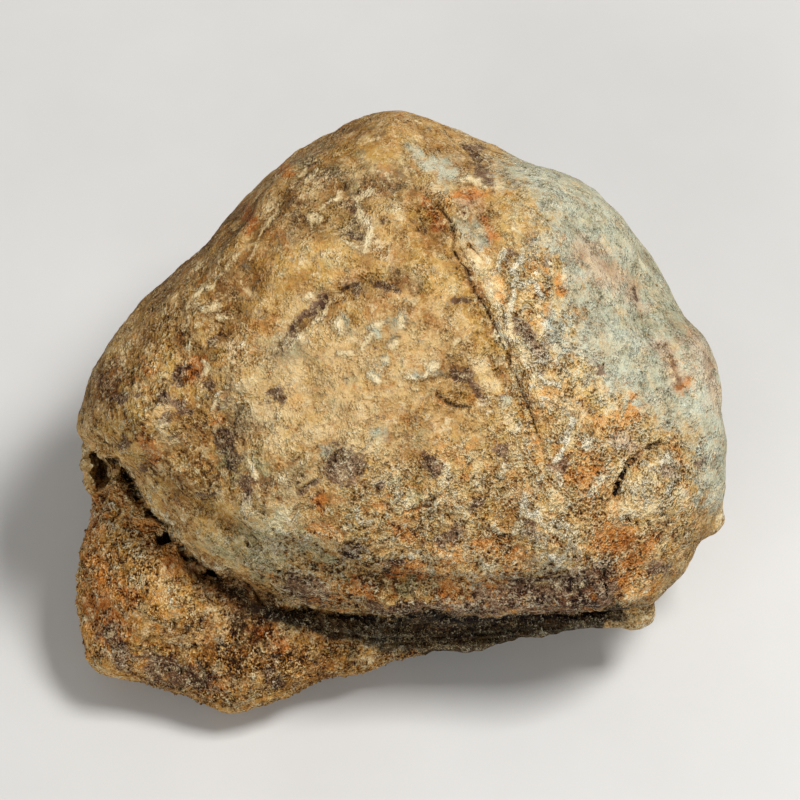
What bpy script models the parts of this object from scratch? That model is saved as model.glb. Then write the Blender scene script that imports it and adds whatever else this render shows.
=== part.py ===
"""A worn, rolled-up trilobite fossil: one lump of iron-stained stone.

The stone is sculpted face on and then tipped back to lie on its worn underside. Face on, every place is
given in millimetres from the middle of the stone: across to the right, up, and out towards the viewer.
Clays for the domed shield, its folded-under edge and the lump of matrix tucked under it are pressed into
one body. Furrows, ledges, pits and ribs are then drawn on it as strokes, the hollows are cut, and the
body is turned, cut flat to rest, and thinned.
"""

import math

import bmesh
import bpy
import numpy as np
from mathutils import Matrix, Vector, noise

MM = 0.001

# The stone's overall form
TIP_BACK = math.radians(30)  # how far the face tips back when the stone lies on its base
SHIELD_FRONT = 17.0  # the dome's height over its rim
BODY_BACK = 21.0  # the body's depth behind the rim
APEX_SHIFT = (-4.0, 3.0)  # the dome's highest place, away from the middle of its outline
FULLNESS = 2.2  # of a section: 2 is an ellipse, more is fuller
REST_PLACE = (0.4, -2.1, 20.6)  # the middle of the stone, over the middle of its footprint

CLAY_GRAIN = 0.5  # fineness at which the clays are pressed together
FINE_GRAIN = 0.4  # fineness of the drawn body before it is thinned
SOFTENING = 5  # rounds of smoothing where the clays meet
FACES = 9000

# Outlines seen face on, each drawn clockwise round its own middle
SHIELD_MIDDLE = (1.0, 1.0)
SHIELD_OUTLINE = [
    (-1.4, 28.6), (4.6, 26.9), (10.1, 24.5), (18.2, 20.8), (22.9, 16.2), (26.5, 9.0), (28.9, 6.4),
    (30.5, 0.1), (31.0, -3.5), (30.2, -8.4), (28.6, -11.8), (26.8, -15.2), (23.2, -18.2), (17.3, -19.2),
    (9.9, -20.0), (3.0, -20.0), (-3.2, -19.8), (-9.5, -18.2), (-13.8, -16.6), (-18.0, -15.0),
    (-21.0, -12.7), (-24.1, -9.5), (-26.1, -6.1), (-29.3, -3.9), (-31.5, -1.8), (-30.1, 3.2),
    (-26.5, 9.0), (-21.8, 13.2), (-16.7, 18.1), (-12.6, 22.9), (-8.2, 26.2),
]
LUMP_MIDDLE = (-17.0, -16.0)
LUMP_OUTLINE = [
    (-16.0, -5.0), (-8.0, -10.0), (0.0, -15.0), (5.0, -20.0), (1.5, -23.0), (-4.0, -24.6), (-9.9, -26.8),
    (-15.8, -28.9), (-19.5, -27.8), (-23.9, -26.6), (-29.4, -25.4), (-31.4, -22.3), (-31.4, -14.6),
    (-29.9, -9.0), (-31.0, -5.0), (-27.0, -2.5),
]
LUMP_LEVEL = -4.5  # the level of the lump's own rim
LUMP_FRONT = 7.5
LUMP_BACK = 13.0
MATRIX_MIDDLE = (-8.0, -15.0)
MATRIX_OUTLINE = [
    (-24.0, -4.0), (-8.0, -3.0), (8.0, -8.0), (18.0, -14.5), (15.0, -19.5), (4.0, -21.2), (-6.0, -23.4),
    (-15.0, -26.0), (-23.5, -24.5), (-28.6, -20.0), (-29.6, -12.0),
]
MATRIX_LEVEL = -10.0
MATRIX_FRONT = 8.0
MATRIX_BACK = 10.0
LEDGE_MIDDLE = (9.0, -18.5)
LEDGE_OUTLINE = [
    (9.0, -12.0), (20.0, -15.5), (23.8, -18.4), (23.2, -20.3), (17.3, -21.4), (11.0, -22.2), (4.0, -22.9),
    (-4.0, -22.9), (-9.0, -19.5), (-3.0, -15.0),
]
LEDGE_LEVEL = -2.6
LEDGE_THICK = 2.6

# Small knobs of stone: (across, up, out) and radius
KNOBS = {
    "right_nub": ((28.9, -10.3, -1.5), 1.7),
    "ledge_corner": ((22.2, -19.3, -2.0), 1.4),
    "rim_boss": ((27.2, 4.6, 0.5), 2.2),
    "lump_heel": ((-27.0, -20.5, -5.0), 4.3),
    "lump_toe": ((-15.0, -24.5, -4.0), 4.0),
    "cavity_wall": ((-29.6, -6.2, -4.0), 1.2),
}

# Swellings and hollows of the face: (across, up), radius and height, negative for a hollow
SWELLINGS = {
    "eye": ((23.8, -7.2), 4.6, 1.3),
    "cheek": ((14.0, -11.0), 8.0, 0.8),
    "brow": ((-3.5, 6.0), 8.0, 0.8),
    "forehead": ((-9.0, 14.0), 6.0, 0.6),
    "rim_bulge": ((27.0, 4.5), 4.0, 0.5),
    "lens_pit": ((5.4, 1.6), 3.0, -0.6),
    "side_hollow": ((-17.0, -4.0), 5.0, -0.7),
    "front_hollow": ((2.5, -13.0), 5.5, -0.6),
    "cheek_hollow": ((16.0, 2.0), 5.0, -0.6),
    "shoulder": ((-13.0, 14.5), 5.5, 0.8),
    "top_hollow": ((-5.5, 19.5), 4.5, -0.9),
    "top_knob": ((-1.5, 25.0), 4.0, 0.6),
    "left_boss": ((-24.5, -2.0), 5.0, 0.7),
    "left_hollow": ((-20.0, 5.0), 4.0, -0.6),
    "lower_boss": ((-12.0, -10.0), 5.0, 0.6),
    "lump_hollow": ((-14.2, -21.0), 3.0, -1.3),
    "lump_knee": ((-23.0, -17.0), 6.0, 1.2),
    "lump_foot": ((-24.0, -23.5), 4.0, -0.6),
    "lump_cheek": ((-8.0, -21.5), 4.5, -0.7),
}

# Lines drawn on the face: a path of (across, up), the half width and the height, negative for a furrow
LINES = {
    "scar": ([(-12.2, 7.8), (-9.2, 8.2), (-7.0, 10.4), (-4.3, 12.0), (-0.5, 11.6), (2.5, 10.6)], 1.1, -0.6),
    "side_ridge": ([(-9.6, 24.0), (-12.6, 19.0), (-15.0, 14.6), (-18.3, 10.8), (-20.6, 7.6)], 1.6, 0.5),
    "side_furrow": ([(-7.0, 22.5), (-9.5, 17.5), (-12.8, 13.0), (-15.8, 8.8), (-18.0, 5.0)], 1.6, -0.4),
    "valley": ([(14.0, 20.0), (18.0, 16.5), (22.3, 11.2), (24.8, 4.6), (26.4, -1.5)], 2.6, -0.8),
    "eye_crease": ([(19.3, -9.0), (20.0, -7.0), (21.4, -5.0), (23.4, -3.4), (25.4, -3.2)], 1.0, -1.0),
    "lower_fold": ([(-12.5, -13.5), (-6.0, -15.6), (1.0, -16.6), (8.0, -16.8), (15.0, -15.5)], 1.8, -0.6),
    "margin_fold": (
        [(-25.0, -3.5), (-20.5, -8.0), (-16.0, -11.2), (-10.0, -13.0), (-3.0, -13.6)],
        1.5,
        -0.45,
    ),
    "crust": ([(-4.0, -18.0), (3.0, -18.6), (9.0, -18.4), (15.0, -17.4), (20.5, -16.0)], 1.6, 0.6),
    "vein_ridge": ([(10.8, 14.0), (12.0, 9.5), (13.5, 4.0), (15.2, -1.0), (16.5, -6.0)], 1.5, 0.45),
    "ledge_seam": ([(-5.0, -21.2), (3.0, -21.6), (10.0, -21.1), (17.0, -20.4)], 0.7, -0.4),
    "lump_groove": ([(-15.8, -19.0), (-16.2, -22.5), (-16.6, -26.5)], 1.2, -0.8),
}

# The furrow beside the dome is a soft step: the dome's side dips and the outer side stands up as a lip
FURROW = [
    (1.0, 23.2), (2.4, 19.8), (4.8, 15.0), (7.4, 10.4), (9.3, 6.4), (10.8, 2.2), (12.4, -1.4),
    (14.4, -5.6),
]
FURROW_DIP = 0.6
FURROW_LIP = 0.45
FURROW_HALF = 1.3  # half the width of the dip, and of the lip

# The gap under the shield's edge, from the left end round to the ledge
GAP = [
    (-30.3, -3.4), (-28.3, -4.9), (-26.3, -6.7), (-25.0, -8.9), (-23.1, -10.7), (-21.3, -12.3),
    (-20.5, -13.9), (-18.8, -15.0), (-16.5, -15.7), (-14.0, -17.0), (-10.5, -18.6), (-6.0, -19.4),
    (0.0, -20.4), (8.0, -20.6), (16.0, -19.5), (22.0, -18.9),
]
SLIT_HALF = 0.75  # half the width of the dark slit under the edge
SLIT_DEPTH = 1.5
SHELF_WIDTH = 3.2  # the strip of matrix that the edge overhangs, sunk below the lump beside it
SHELF_DEPTH = 0.9

# Open hollows in the gap: middle (across, up, out), half sizes along, across and into the gap, and turn
HOLLOWS = {
    "left_cavity": ((-29.3, -5.4, -2.5), (2.7, 0.85, 5.0), -72),
    "square_cavity": ((-22.8, -12.2, -0.5), (1.3, 0.95, 4.0), 50),
    "corner_cavity": ((-18.5, -15.6, -0.5), (1.5, 0.75, 4.0), -38),
}

# Worn ribs of the rolled body, behind the top of the face: angles back from the rim
RIB_FIRST = math.radians(14)
RIB_STEP = math.radians(12)
RIB_LAST = math.radians(118)
RIB_HEIGHT = 0.42
AXIS_HALF = 9.5  # half the width of the middle lobe
AXIS_RAISE = 0.6

# Lumpiness of weathered stone: wavelength and height
WEATHERING = [(10.0, 0.75), (4.6, 0.5), (2.4, 0.24)]

STONE_COLOUR = (0.42, 0.27, 0.12, 1.0)


def clear_scene():
    for thing in list(bpy.data.objects):
        bpy.data.objects.remove(thing)


def smooth_closed(outline, steps=12):
    """The closed Catmull-Rom curve through the outline's points."""
    points = np.array(outline, float)
    before, after, beyond = (np.roll(points, shift, axis=0) for shift in (1, -1, -2))
    share = (np.arange(steps) / steps)[None, :, None]
    a, b, c, d = (p[:, None, :] for p in (before, points, after, beyond))
    curve = 0.5 * (2 * b + (c - a) * share + (2 * a - 5 * b + 4 * c - d) * share**2
                   + (3 * b - a - 3 * c + d) * share**3)
    return curve.reshape(-1, 2)


def outline_reach(outline, middle, angle):
    """How far the outline lies from its middle at each angle."""
    curve = smooth_closed(outline) - np.array(middle)
    around = np.arctan2(curve[:, 1], curve[:, 0])
    order = np.argsort(around)
    return np.interp(angle, around[order], np.hypot(*curve.T)[order], period=2 * math.pi)


def ball(fineness=6):
    mesh = bmesh.new()
    bmesh.ops.create_icosphere(mesh, subdivisions=fineness, radius=1.0)
    return mesh


def clay(name, outline, middle, level, front, back, apex=(0.0, 0.0)):
    """A ball pressed into an outline, as thick in front of its rim and behind it as said."""
    mesh = ball()
    points = np.array([vertex.co for vertex in mesh.verts])
    flat = np.hypot(points[:, 0], points[:, 1])
    out = points[:, 2]
    swell = (flat**FULLNESS + np.abs(out) ** FULLNESS) ** (-1 / FULLNESS)
    reach = outline_reach(outline, middle, np.arctan2(points[:, 1], points[:, 0]))
    direction = points[:, :2] / np.maximum(flat, 1e-6)[:, None]
    shift = np.clip(out * swell, 0, 1)[:, None] ** 2 * np.array(apex)
    plane = np.array(middle) + direction * (reach * flat * swell)[:, None] + shift
    depth = level + out * swell * np.where(out > 0, front, back)
    for vertex, (across, up), w in zip(mesh.verts, plane, depth):
        vertex.co = (across * MM, up * MM, w * MM)
    return add_object(name, mesh)


def knob(name, place, radius):
    mesh = ball(4)
    for vertex in mesh.verts:
        vertex.co = (vertex.co * radius + Vector(place)) * MM
    return add_object(name, mesh)


def add_object(name, mesh):
    data = bpy.data.meshes.new(name)
    mesh.to_mesh(data)
    mesh.free()
    thing = bpy.data.objects.new(name, data)
    bpy.context.scene.collection.objects.link(thing)
    return thing


def apply_modifiers(thing):
    """Bakes the modifiers of a thing into its mesh."""
    graph = bpy.context.evaluated_depsgraph_get()
    made = bpy.data.meshes.new_from_object(thing.evaluated_get(graph))
    thing.modifiers.clear()
    thing.data = made
    return thing


def knead(body, grain):
    """Renews the body's skin with faces of one size."""
    remesh = body.modifiers.new("knead", "REMESH")
    remesh.mode = "VOXEL"
    remesh.voxel_size = grain * MM
    return apply_modifiers(body)


def press_together(name, clays):
    """One closed body round all the clays, softened where they meet."""
    joined = bmesh.new()
    for piece in clays:
        joined.from_mesh(piece.data)
        bpy.data.objects.remove(piece)
    body = knead(add_object(name, joined), CLAY_GRAIN)
    soften = body.modifiers.new("soften", "SMOOTH")
    soften.factor = 0.5
    soften.iterations = SOFTENING
    return apply_modifiers(body)


def read_points(mesh):
    """Vertex places in millimetres, and normals."""
    places = np.empty(len(mesh.vertices) * 3, np.float32)
    mesh.vertices.foreach_get("co", places)
    normals = np.empty(len(mesh.vertices) * 3, np.float32)
    mesh.vertices.foreach_get("normal", normals)
    return places.reshape(-1, 3).astype(float) / MM, normals.reshape(-1, 3).astype(float)


def write_points(mesh, places):
    mesh.vertices.foreach_set("co", (places * MM).astype(np.float32).ravel())
    mesh.update()


def ramp(low, high, value):
    """0 below low and 1 above high, smoothly between."""
    share = np.clip((value - low) / (high - low), 0, 1)
    return share * share * (3 - 2 * share)


def from_path(places, path):
    """Each place's distance from a path seen face on, its side (1 is left) and its share along the path."""
    path = np.array(path, float)
    starts, spans = path[:-1], np.diff(path, axis=0)
    lengths = np.hypot(*spans.T)
    passed = np.concatenate([[0], np.cumsum(lengths)[:-1]])
    best = np.full(len(places), np.inf)
    side = np.zeros(len(places))
    share = np.zeros(len(places))
    for start, span, length, before in zip(starts, spans, lengths, passed):
        offset = places[:, :2] - start
        t = np.clip(offset @ span / length**2, 0, 1)
        gap = offset - t[:, None] * span
        distance = np.hypot(*gap.T)
        nearer = distance < best
        best = np.where(nearer, distance, best)
        turn = span[0] * offset[:, 1] - span[1] * offset[:, 0]
        side = np.where(nearer, np.sign(turn), side)
        share = np.where(nearer, (before + t * length) / lengths.sum(), share)
    return best, side, share


def facing(normals):
    """1 where the surface faces the viewer, fading to 0 where it turns away."""
    return ramp(-0.05, 0.35, normals[:, 2])


def ends_fade(share, fade=0.12):
    return ramp(0, fade, share) * ramp(0, fade, 1 - share)


def stone_noise(places, wavelength, seed):
    offset = Vector((seed * 17.3, seed * 5.1, seed * 9.7))
    return np.array([noise.noise(Vector(place) / wavelength + offset) for place in places])


def draw_face(mesh):
    """The swellings, lines and furrow of the face."""
    places, normals = read_points(mesh)
    front = facing(normals)
    lift = np.zeros(len(places))
    for middle, radius, height in SWELLINGS.values():
        distance = np.hypot(*(places[:, :2] - middle).T)
        lift += height * (1 - ramp(0, radius, distance))
    for path, half_width, height in LINES.values():
        distance, _, share = from_path(places, path)
        lift += height * (1 - ramp(0, half_width, distance)) * ends_fade(share)
    distance, side, share = from_path(places, FURROW)
    past = distance * side / FURROW_HALF
    step = FURROW_LIP * np.exp(-((past - 1) ** 2)) - FURROW_DIP * np.exp(-((past + 0.6) ** 2))
    lift += step * ends_fade(share, 0.2)
    write_points(mesh, places + normals * (lift * front)[:, None])


def open_gap(mesh):
    """Sinks a shelf of matrix outside the shield's edge, with a slit where the edge overhangs it."""
    places, normals = read_points(mesh)
    distance, side, share = from_path(places, GAP)
    under_edge = np.where(side < 0, 1, 1 - ramp(0, 0.5, distance))
    shelf = SHELF_DEPTH * (1 - ramp(0.6, SHELF_WIDTH, distance)) * under_edge
    slit = SLIT_DEPTH * (1 - ramp(0.1, SLIT_HALF, distance)) * (1 - 0.4 * ramp(0.5, 0.75, share))
    sink = (shelf * (1 - ramp(0.45, 0.6, share)) + slit) * ends_fade(share, 0.05)
    places[:, 2] -= sink * facing(normals)
    write_points(mesh, places)


def draw_ribs(mesh):
    """The worn ribs and middle lobe of the rolled body, over the top and down the back."""
    places, normals = read_points(mesh)
    across, up, out = places.T
    back = np.arctan2(-out, up)
    rib = (back - RIB_FIRST) / RIB_STEP
    wave = np.cos(2 * math.pi * rib)
    fade = ramp(RIB_FIRST - RIB_STEP, RIB_FIRST + RIB_STEP, back)
    fade *= 1 - ramp(RIB_LAST - RIB_STEP, RIB_LAST, back)
    sides = 1 - ramp(17, 27, np.abs(across))
    wear = ramp(-0.35, 0.25, stone_noise(places, 13.0, 3))
    lobe = AXIS_RAISE * (1 - ramp(AXIS_HALF - 2.2, AXIS_HALF, np.abs(across)))
    lift = fade * sides * (RIB_HEIGHT * wave * wear + lobe)
    write_points(mesh, places + normals * lift[:, None])


def weather(mesh):
    """Lumps and dents of every size down to a grain or two."""
    places, normals = read_points(mesh)
    lift = np.zeros(len(places))
    for seed, (wavelength, height) in enumerate(WEATHERING, start=1):
        lift += height * stone_noise(places, wavelength, seed)
    write_points(mesh, places + normals * lift[:, None])


def cut_hollows(body):
    """Cuts the open hollows out of the gap."""
    for name, (middle, halves, turn) in HOLLOWS.items():
        mesh = ball(3)
        place = Matrix.Translation(middle) @ Matrix.Rotation(math.radians(turn), 4, "Z")
        mesh.transform(Matrix.Scale(MM, 4) @ place @ Matrix.Diagonal((*halves, 1)))
        cutter = add_object(name, mesh)
        cut = body.modifiers.new(name, "BOOLEAN")
        cut.operation = "DIFFERENCE"
        cut.object = cutter
        apply_modifiers(body)
        bpy.data.objects.remove(cutter)


def lay_down(body):
    """Tips the stone back on to its base and cuts that flat."""
    mesh = bmesh.new()
    mesh.from_mesh(body.data)
    mesh.transform(Matrix.Translation(Vector(REST_PLACE) * MM) @ Matrix.Rotation(TIP_BACK, 4, "X"))
    everything = mesh.verts[:] + mesh.edges[:] + mesh.faces[:]
    cut = bmesh.ops.bisect_plane(
        mesh, geom=everything, plane_co=(0, 0, 0), plane_no=(0, 0, 1), clear_inner=True
    )
    edges = [part for part in cut["geom_cut"] if isinstance(part, bmesh.types.BMEdge)]
    bmesh.ops.contextual_create(mesh, geom=edges)
    mesh.to_mesh(body.data)
    mesh.free()


def thin(body):
    """Fewer faces, kept where the form turns."""
    body.data.calc_loop_triangles()
    decimate = body.modifiers.new("thin", "DECIMATE")
    decimate.ratio = FACES / len(body.data.loop_triangles)
    decimate.use_collapse_triangulate = True
    apply_modifiers(body)
    print("triangles after thinning:", len(body.data.polygons))


def stone_material():
    material = bpy.data.materials.new("iron_stained_stone")
    material.use_nodes = True
    shader = material.node_tree.nodes["Principled BSDF"]
    shader.inputs["Base Color"].default_value = STONE_COLOUR
    shader.inputs["Roughness"].default_value = 0.9
    shader.inputs["Metallic"].default_value = 0.0
    return material


def build_fossil():
    clays = [
        clay("shield", SHIELD_OUTLINE, SHIELD_MIDDLE, 0.0, SHIELD_FRONT, BODY_BACK, APEX_SHIFT),
        clay("lump", LUMP_OUTLINE, LUMP_MIDDLE, LUMP_LEVEL, LUMP_FRONT, LUMP_BACK),
        clay("matrix", MATRIX_OUTLINE, MATRIX_MIDDLE, MATRIX_LEVEL, MATRIX_FRONT, MATRIX_BACK),
        clay("ledge", LEDGE_OUTLINE, LEDGE_MIDDLE, LEDGE_LEVEL, LEDGE_THICK, LEDGE_THICK),
    ]
    clays += [knob(name, place, radius) for name, (place, radius) in KNOBS.items()]
    body = press_together("trilobite_fossil", clays)
    draw_face(body.data)
    draw_ribs(body.data)
    weather(body.data)
    open_gap(body.data)
    cut_hollows(body)
    knead(body, FINE_GRAIN)
    thin(body)
    lay_down(body)
    body.data.shade_smooth()
    body.data.materials.append(stone_material())
    return body


clear_scene()
build_fossil()
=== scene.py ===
# %% [markdown]
# # A rolled-up trilobite fossil
#
# The real thing is one lump of stone: a trilobite that rolled up, was buried, and turned to iron-stained
# rock with a lump of its matrix still stuck under the edge of its head shield. Its form is already built
# as one solid, the frame. This lesson grows a fine skin of stone over that solid. It scratches cracks and
# furrows into it, roughens it with Geometry Nodes, stains it with marks that are placed one by one, and
# lights it on a pale table.

# %% Load the frame
import math
from functools import partial
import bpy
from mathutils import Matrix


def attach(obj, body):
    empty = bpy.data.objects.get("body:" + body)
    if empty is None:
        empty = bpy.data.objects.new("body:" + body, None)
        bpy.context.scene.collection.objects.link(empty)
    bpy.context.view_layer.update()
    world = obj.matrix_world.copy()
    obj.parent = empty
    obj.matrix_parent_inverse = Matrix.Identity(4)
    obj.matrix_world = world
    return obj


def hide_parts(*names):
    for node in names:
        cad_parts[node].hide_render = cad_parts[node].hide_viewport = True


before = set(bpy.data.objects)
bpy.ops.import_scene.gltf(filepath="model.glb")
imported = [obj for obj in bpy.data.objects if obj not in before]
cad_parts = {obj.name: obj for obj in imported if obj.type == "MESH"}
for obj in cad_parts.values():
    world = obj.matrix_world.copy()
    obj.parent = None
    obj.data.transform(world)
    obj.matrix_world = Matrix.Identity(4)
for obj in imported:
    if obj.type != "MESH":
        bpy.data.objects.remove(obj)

from types import SimpleNamespace

import bmesh
import bpy
import numpy as np
from mathutils import Matrix, Vector, noise

NODE = "trilobite_fossil"
NOISE_SEED = 1795471618
noise.seed_set(NOISE_SEED)  # without it, noise_vector starts from the clock, and no two runs are alike
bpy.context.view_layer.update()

# %% [markdown]
# ## Two ways to say where a place is
#
# The stone lies tipped back on its base, but its marks are easiest to place on its face. So a second set
# of directions is used, in millimetres: across to the right, up the face, and out towards whoever looks at
# it. A matrix turns table places into face places. A mark is placed where an eye sees it, so the
# `as_seen` function also spreads the near parts a little, as they look from an arm's length away.

# %% Face directions
TIP_BACK = math.radians(30)
REST_PLACE = Vector((0.4, -2.1, 20.6))
TO_FACE = np.array((Matrix.Translation(REST_PLACE) @ Matrix.Rotation(TIP_BACK, 4, "X")).inverted())
EYE_DISTANCE = 420.0
EYE_AXIS = np.array([-0.5, 1.1])
UP_THE_FACE = (0.0, math.cos(TIP_BACK), math.sin(TIP_BACK))
print("the face's middle is", round(REST_PLACE.z, 1), "millimetres above the table")


def read(mesh, what):
    """The vertices' places ("co") or normals ("normal"), one row each."""
    values = np.empty(len(mesh.vertices) * 3, np.float32)
    mesh.vertices.foreach_get(what, values)
    return values.reshape(-1, 3).astype(float)


def write(mesh, places):
    mesh.vertices.foreach_set("co", places.astype(np.float32).ravel())
    mesh.update()


def face_places(mesh):
    """Each vertex on the face, in millimetres: across, up, out."""
    return read(mesh, "co") @ TO_FACE[:3, :3].T + TO_FACE[:3, 3]


def face_normals(mesh):
    return read(mesh, "normal") @ TO_FACE[:3, :3].T


def as_seen(places):
    """Where an eye in front of the face sees each place: across and up."""
    nearness = EYE_DISTANCE / (EYE_DISTANCE - places[:, 2])
    return EYE_AXIS + (places[:, :2] - EYE_AXIS) * nearness[:, None]


def ramp(low, high, value):
    """0 below low, 1 above high and smooth between them."""
    share = np.clip((value - low) / (high - low), 0, 1)
    return share * share * (3 - 2 * share)


# %% [markdown]
# ## The stone's skin
#
# The solid has only enough faces for its form. A voxel remesh covers it with small faces of one size,
# which can carry relief as fine as coarse sand. A smoothing pass takes the solid's flat facets off. Where
# the stone turns away to its back and its base, a Decimate modifier gives most faces back, so that the
# whole stays under 200,000 triangles. Lengths are in millimetres until the end, because such small shapes
# are easier to think about that way, and the tools' rounding errors stay far away.

# %% Grow the skin
MILLIMETRES = 1000.0  # in a metre
TO_METRES = 0.001
SKIN_GRAIN = 0.3
FACET_SMOOTHING = 15  # rounds
FACES_KEPT = 0.68  # of all the skin's faces


def bake(thing):
    """Replaces a thing's mesh by what its modifiers make of it."""
    graph = bpy.context.evaluated_depsgraph_get()
    made = bpy.data.meshes.new_from_object(thing.evaluated_get(graph))
    thing.modifiers.clear()
    thing.data = made


def modify(thing, kind, **settings):
    modifier = thing.modifiers.new(kind.lower(), kind)
    for name, value in settings.items():
        setattr(modifier, name, value)
    return modifier


def new_thing(name, mesh):
    thing = bpy.data.objects.new(name, mesh)
    bpy.context.scene.collection.objects.link(thing)
    return thing


def facing(mesh, low, high):
    """1 where the skin faces the eye, fading to 0 where it turns away."""
    return ramp(low, high, face_normals(mesh)[:, 2])


def grow_skin():
    solid = bmesh.new()
    solid.from_mesh(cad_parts[NODE].data)
    bmesh.ops.remove_doubles(solid, verts=solid.verts, dist=1e-6)
    mesh = bpy.data.meshes.new("weathered_stone")
    solid.to_mesh(mesh)
    solid.free()
    mesh.transform(Matrix.Scale(MILLIMETRES, 4))
    stone = new_thing("weathered_stone", mesh)
    modify(stone, "REMESH", mode="VOXEL", voxel_size=SKIN_GRAIN)
    modify(stone, "SMOOTH", factor=0.5, iterations=FACET_SMOOTHING)
    bake(stone)
    return stone


def thin_the_back(stone):
    away = np.round(10 * (1 - facing(stone.data, -0.15, 0.25))) / 10
    group = stone.vertex_groups.new(name="away")
    for level in np.unique(away[away > 0]):
        group.add(np.flatnonzero(away == level).tolist(), float(level), "REPLACE")
    modify(stone, "DECIMATE", ratio=FACES_KEPT, vertex_group="away", vertex_group_factor=0.1)
    bake(stone)
    stone.vertex_groups.clear()


def triangles(mesh):
    return sum(len(face.vertices) - 2 for face in mesh.polygons)


stone = grow_skin()
print("skin triangles before thinning:", triangles(stone.data))
thin_the_back(stone)
print("skin triangles after thinning:", triangles(stone.data))

# %% [markdown]
# ## Marks along a path
#
# Nearly everything on this stone is a mark that follows a path: a crack, a vein, a smear of rust. One
# helper measures how far each vertex is from a path, and the rest of the lesson builds on it. A path is
# written as one run of numbers, across and up by turns: `(0, 0, 3, 1)` goes from (0, 0) to (3, 1). A
# closed area is measured in the same way, with distances inside it counted as negative.

# %% Distance from a path
def along(path, spots):
    """How far each spot is from a path, the step to it, and the share of the path's length there."""
    path = np.array(path, float).reshape(-1, 2)
    if len(path) == 1:
        step = path[0] - spots
        return np.hypot(*step.T), step, np.full(len(spots), 0.5)
    nearest = np.full(len(spots), np.inf)
    steps = np.zeros((len(spots), 2))
    share = np.zeros(len(spots))
    spans = np.diff(path, axis=0)
    lengths = np.hypot(*spans.T)
    passed = 0.0
    for start, span, length in zip(path, spans, lengths):
        part = np.clip((spots - start) @ span / length**2, 0, 1)
        step = start + part[:, None] * span - spots
        distance = np.hypot(*step.T)
        nearer = distance < nearest
        nearest[nearer] = distance[nearer]
        steps[nearer] = step[nearer]
        share[nearer] = (passed + part[nearer] * length) / lengths.sum()
        passed += length
    return nearest, steps, share


def outside(outline, spots):
    """How far each spot is outside a closed outline: less than 0 inside it."""
    corners = np.array(outline, float).reshape(-1, 2)
    distance = along(np.vstack([corners, corners[:1]]), spots)[0]
    inside = np.zeros(len(spots), bool)
    for (x1, y1), (x2, y2) in zip(corners, np.roll(corners, -1, axis=0)):
        if y1 == y2:
            continue
        spans_it = (y1 > spots[:, 1]) != (y2 > spots[:, 1])
        inside ^= spans_it & (spots[:, 0] < x1 + (spots[:, 1] - y1) * (x2 - x1) / (y2 - y1))
    return np.where(inside, -distance, distance)
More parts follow.
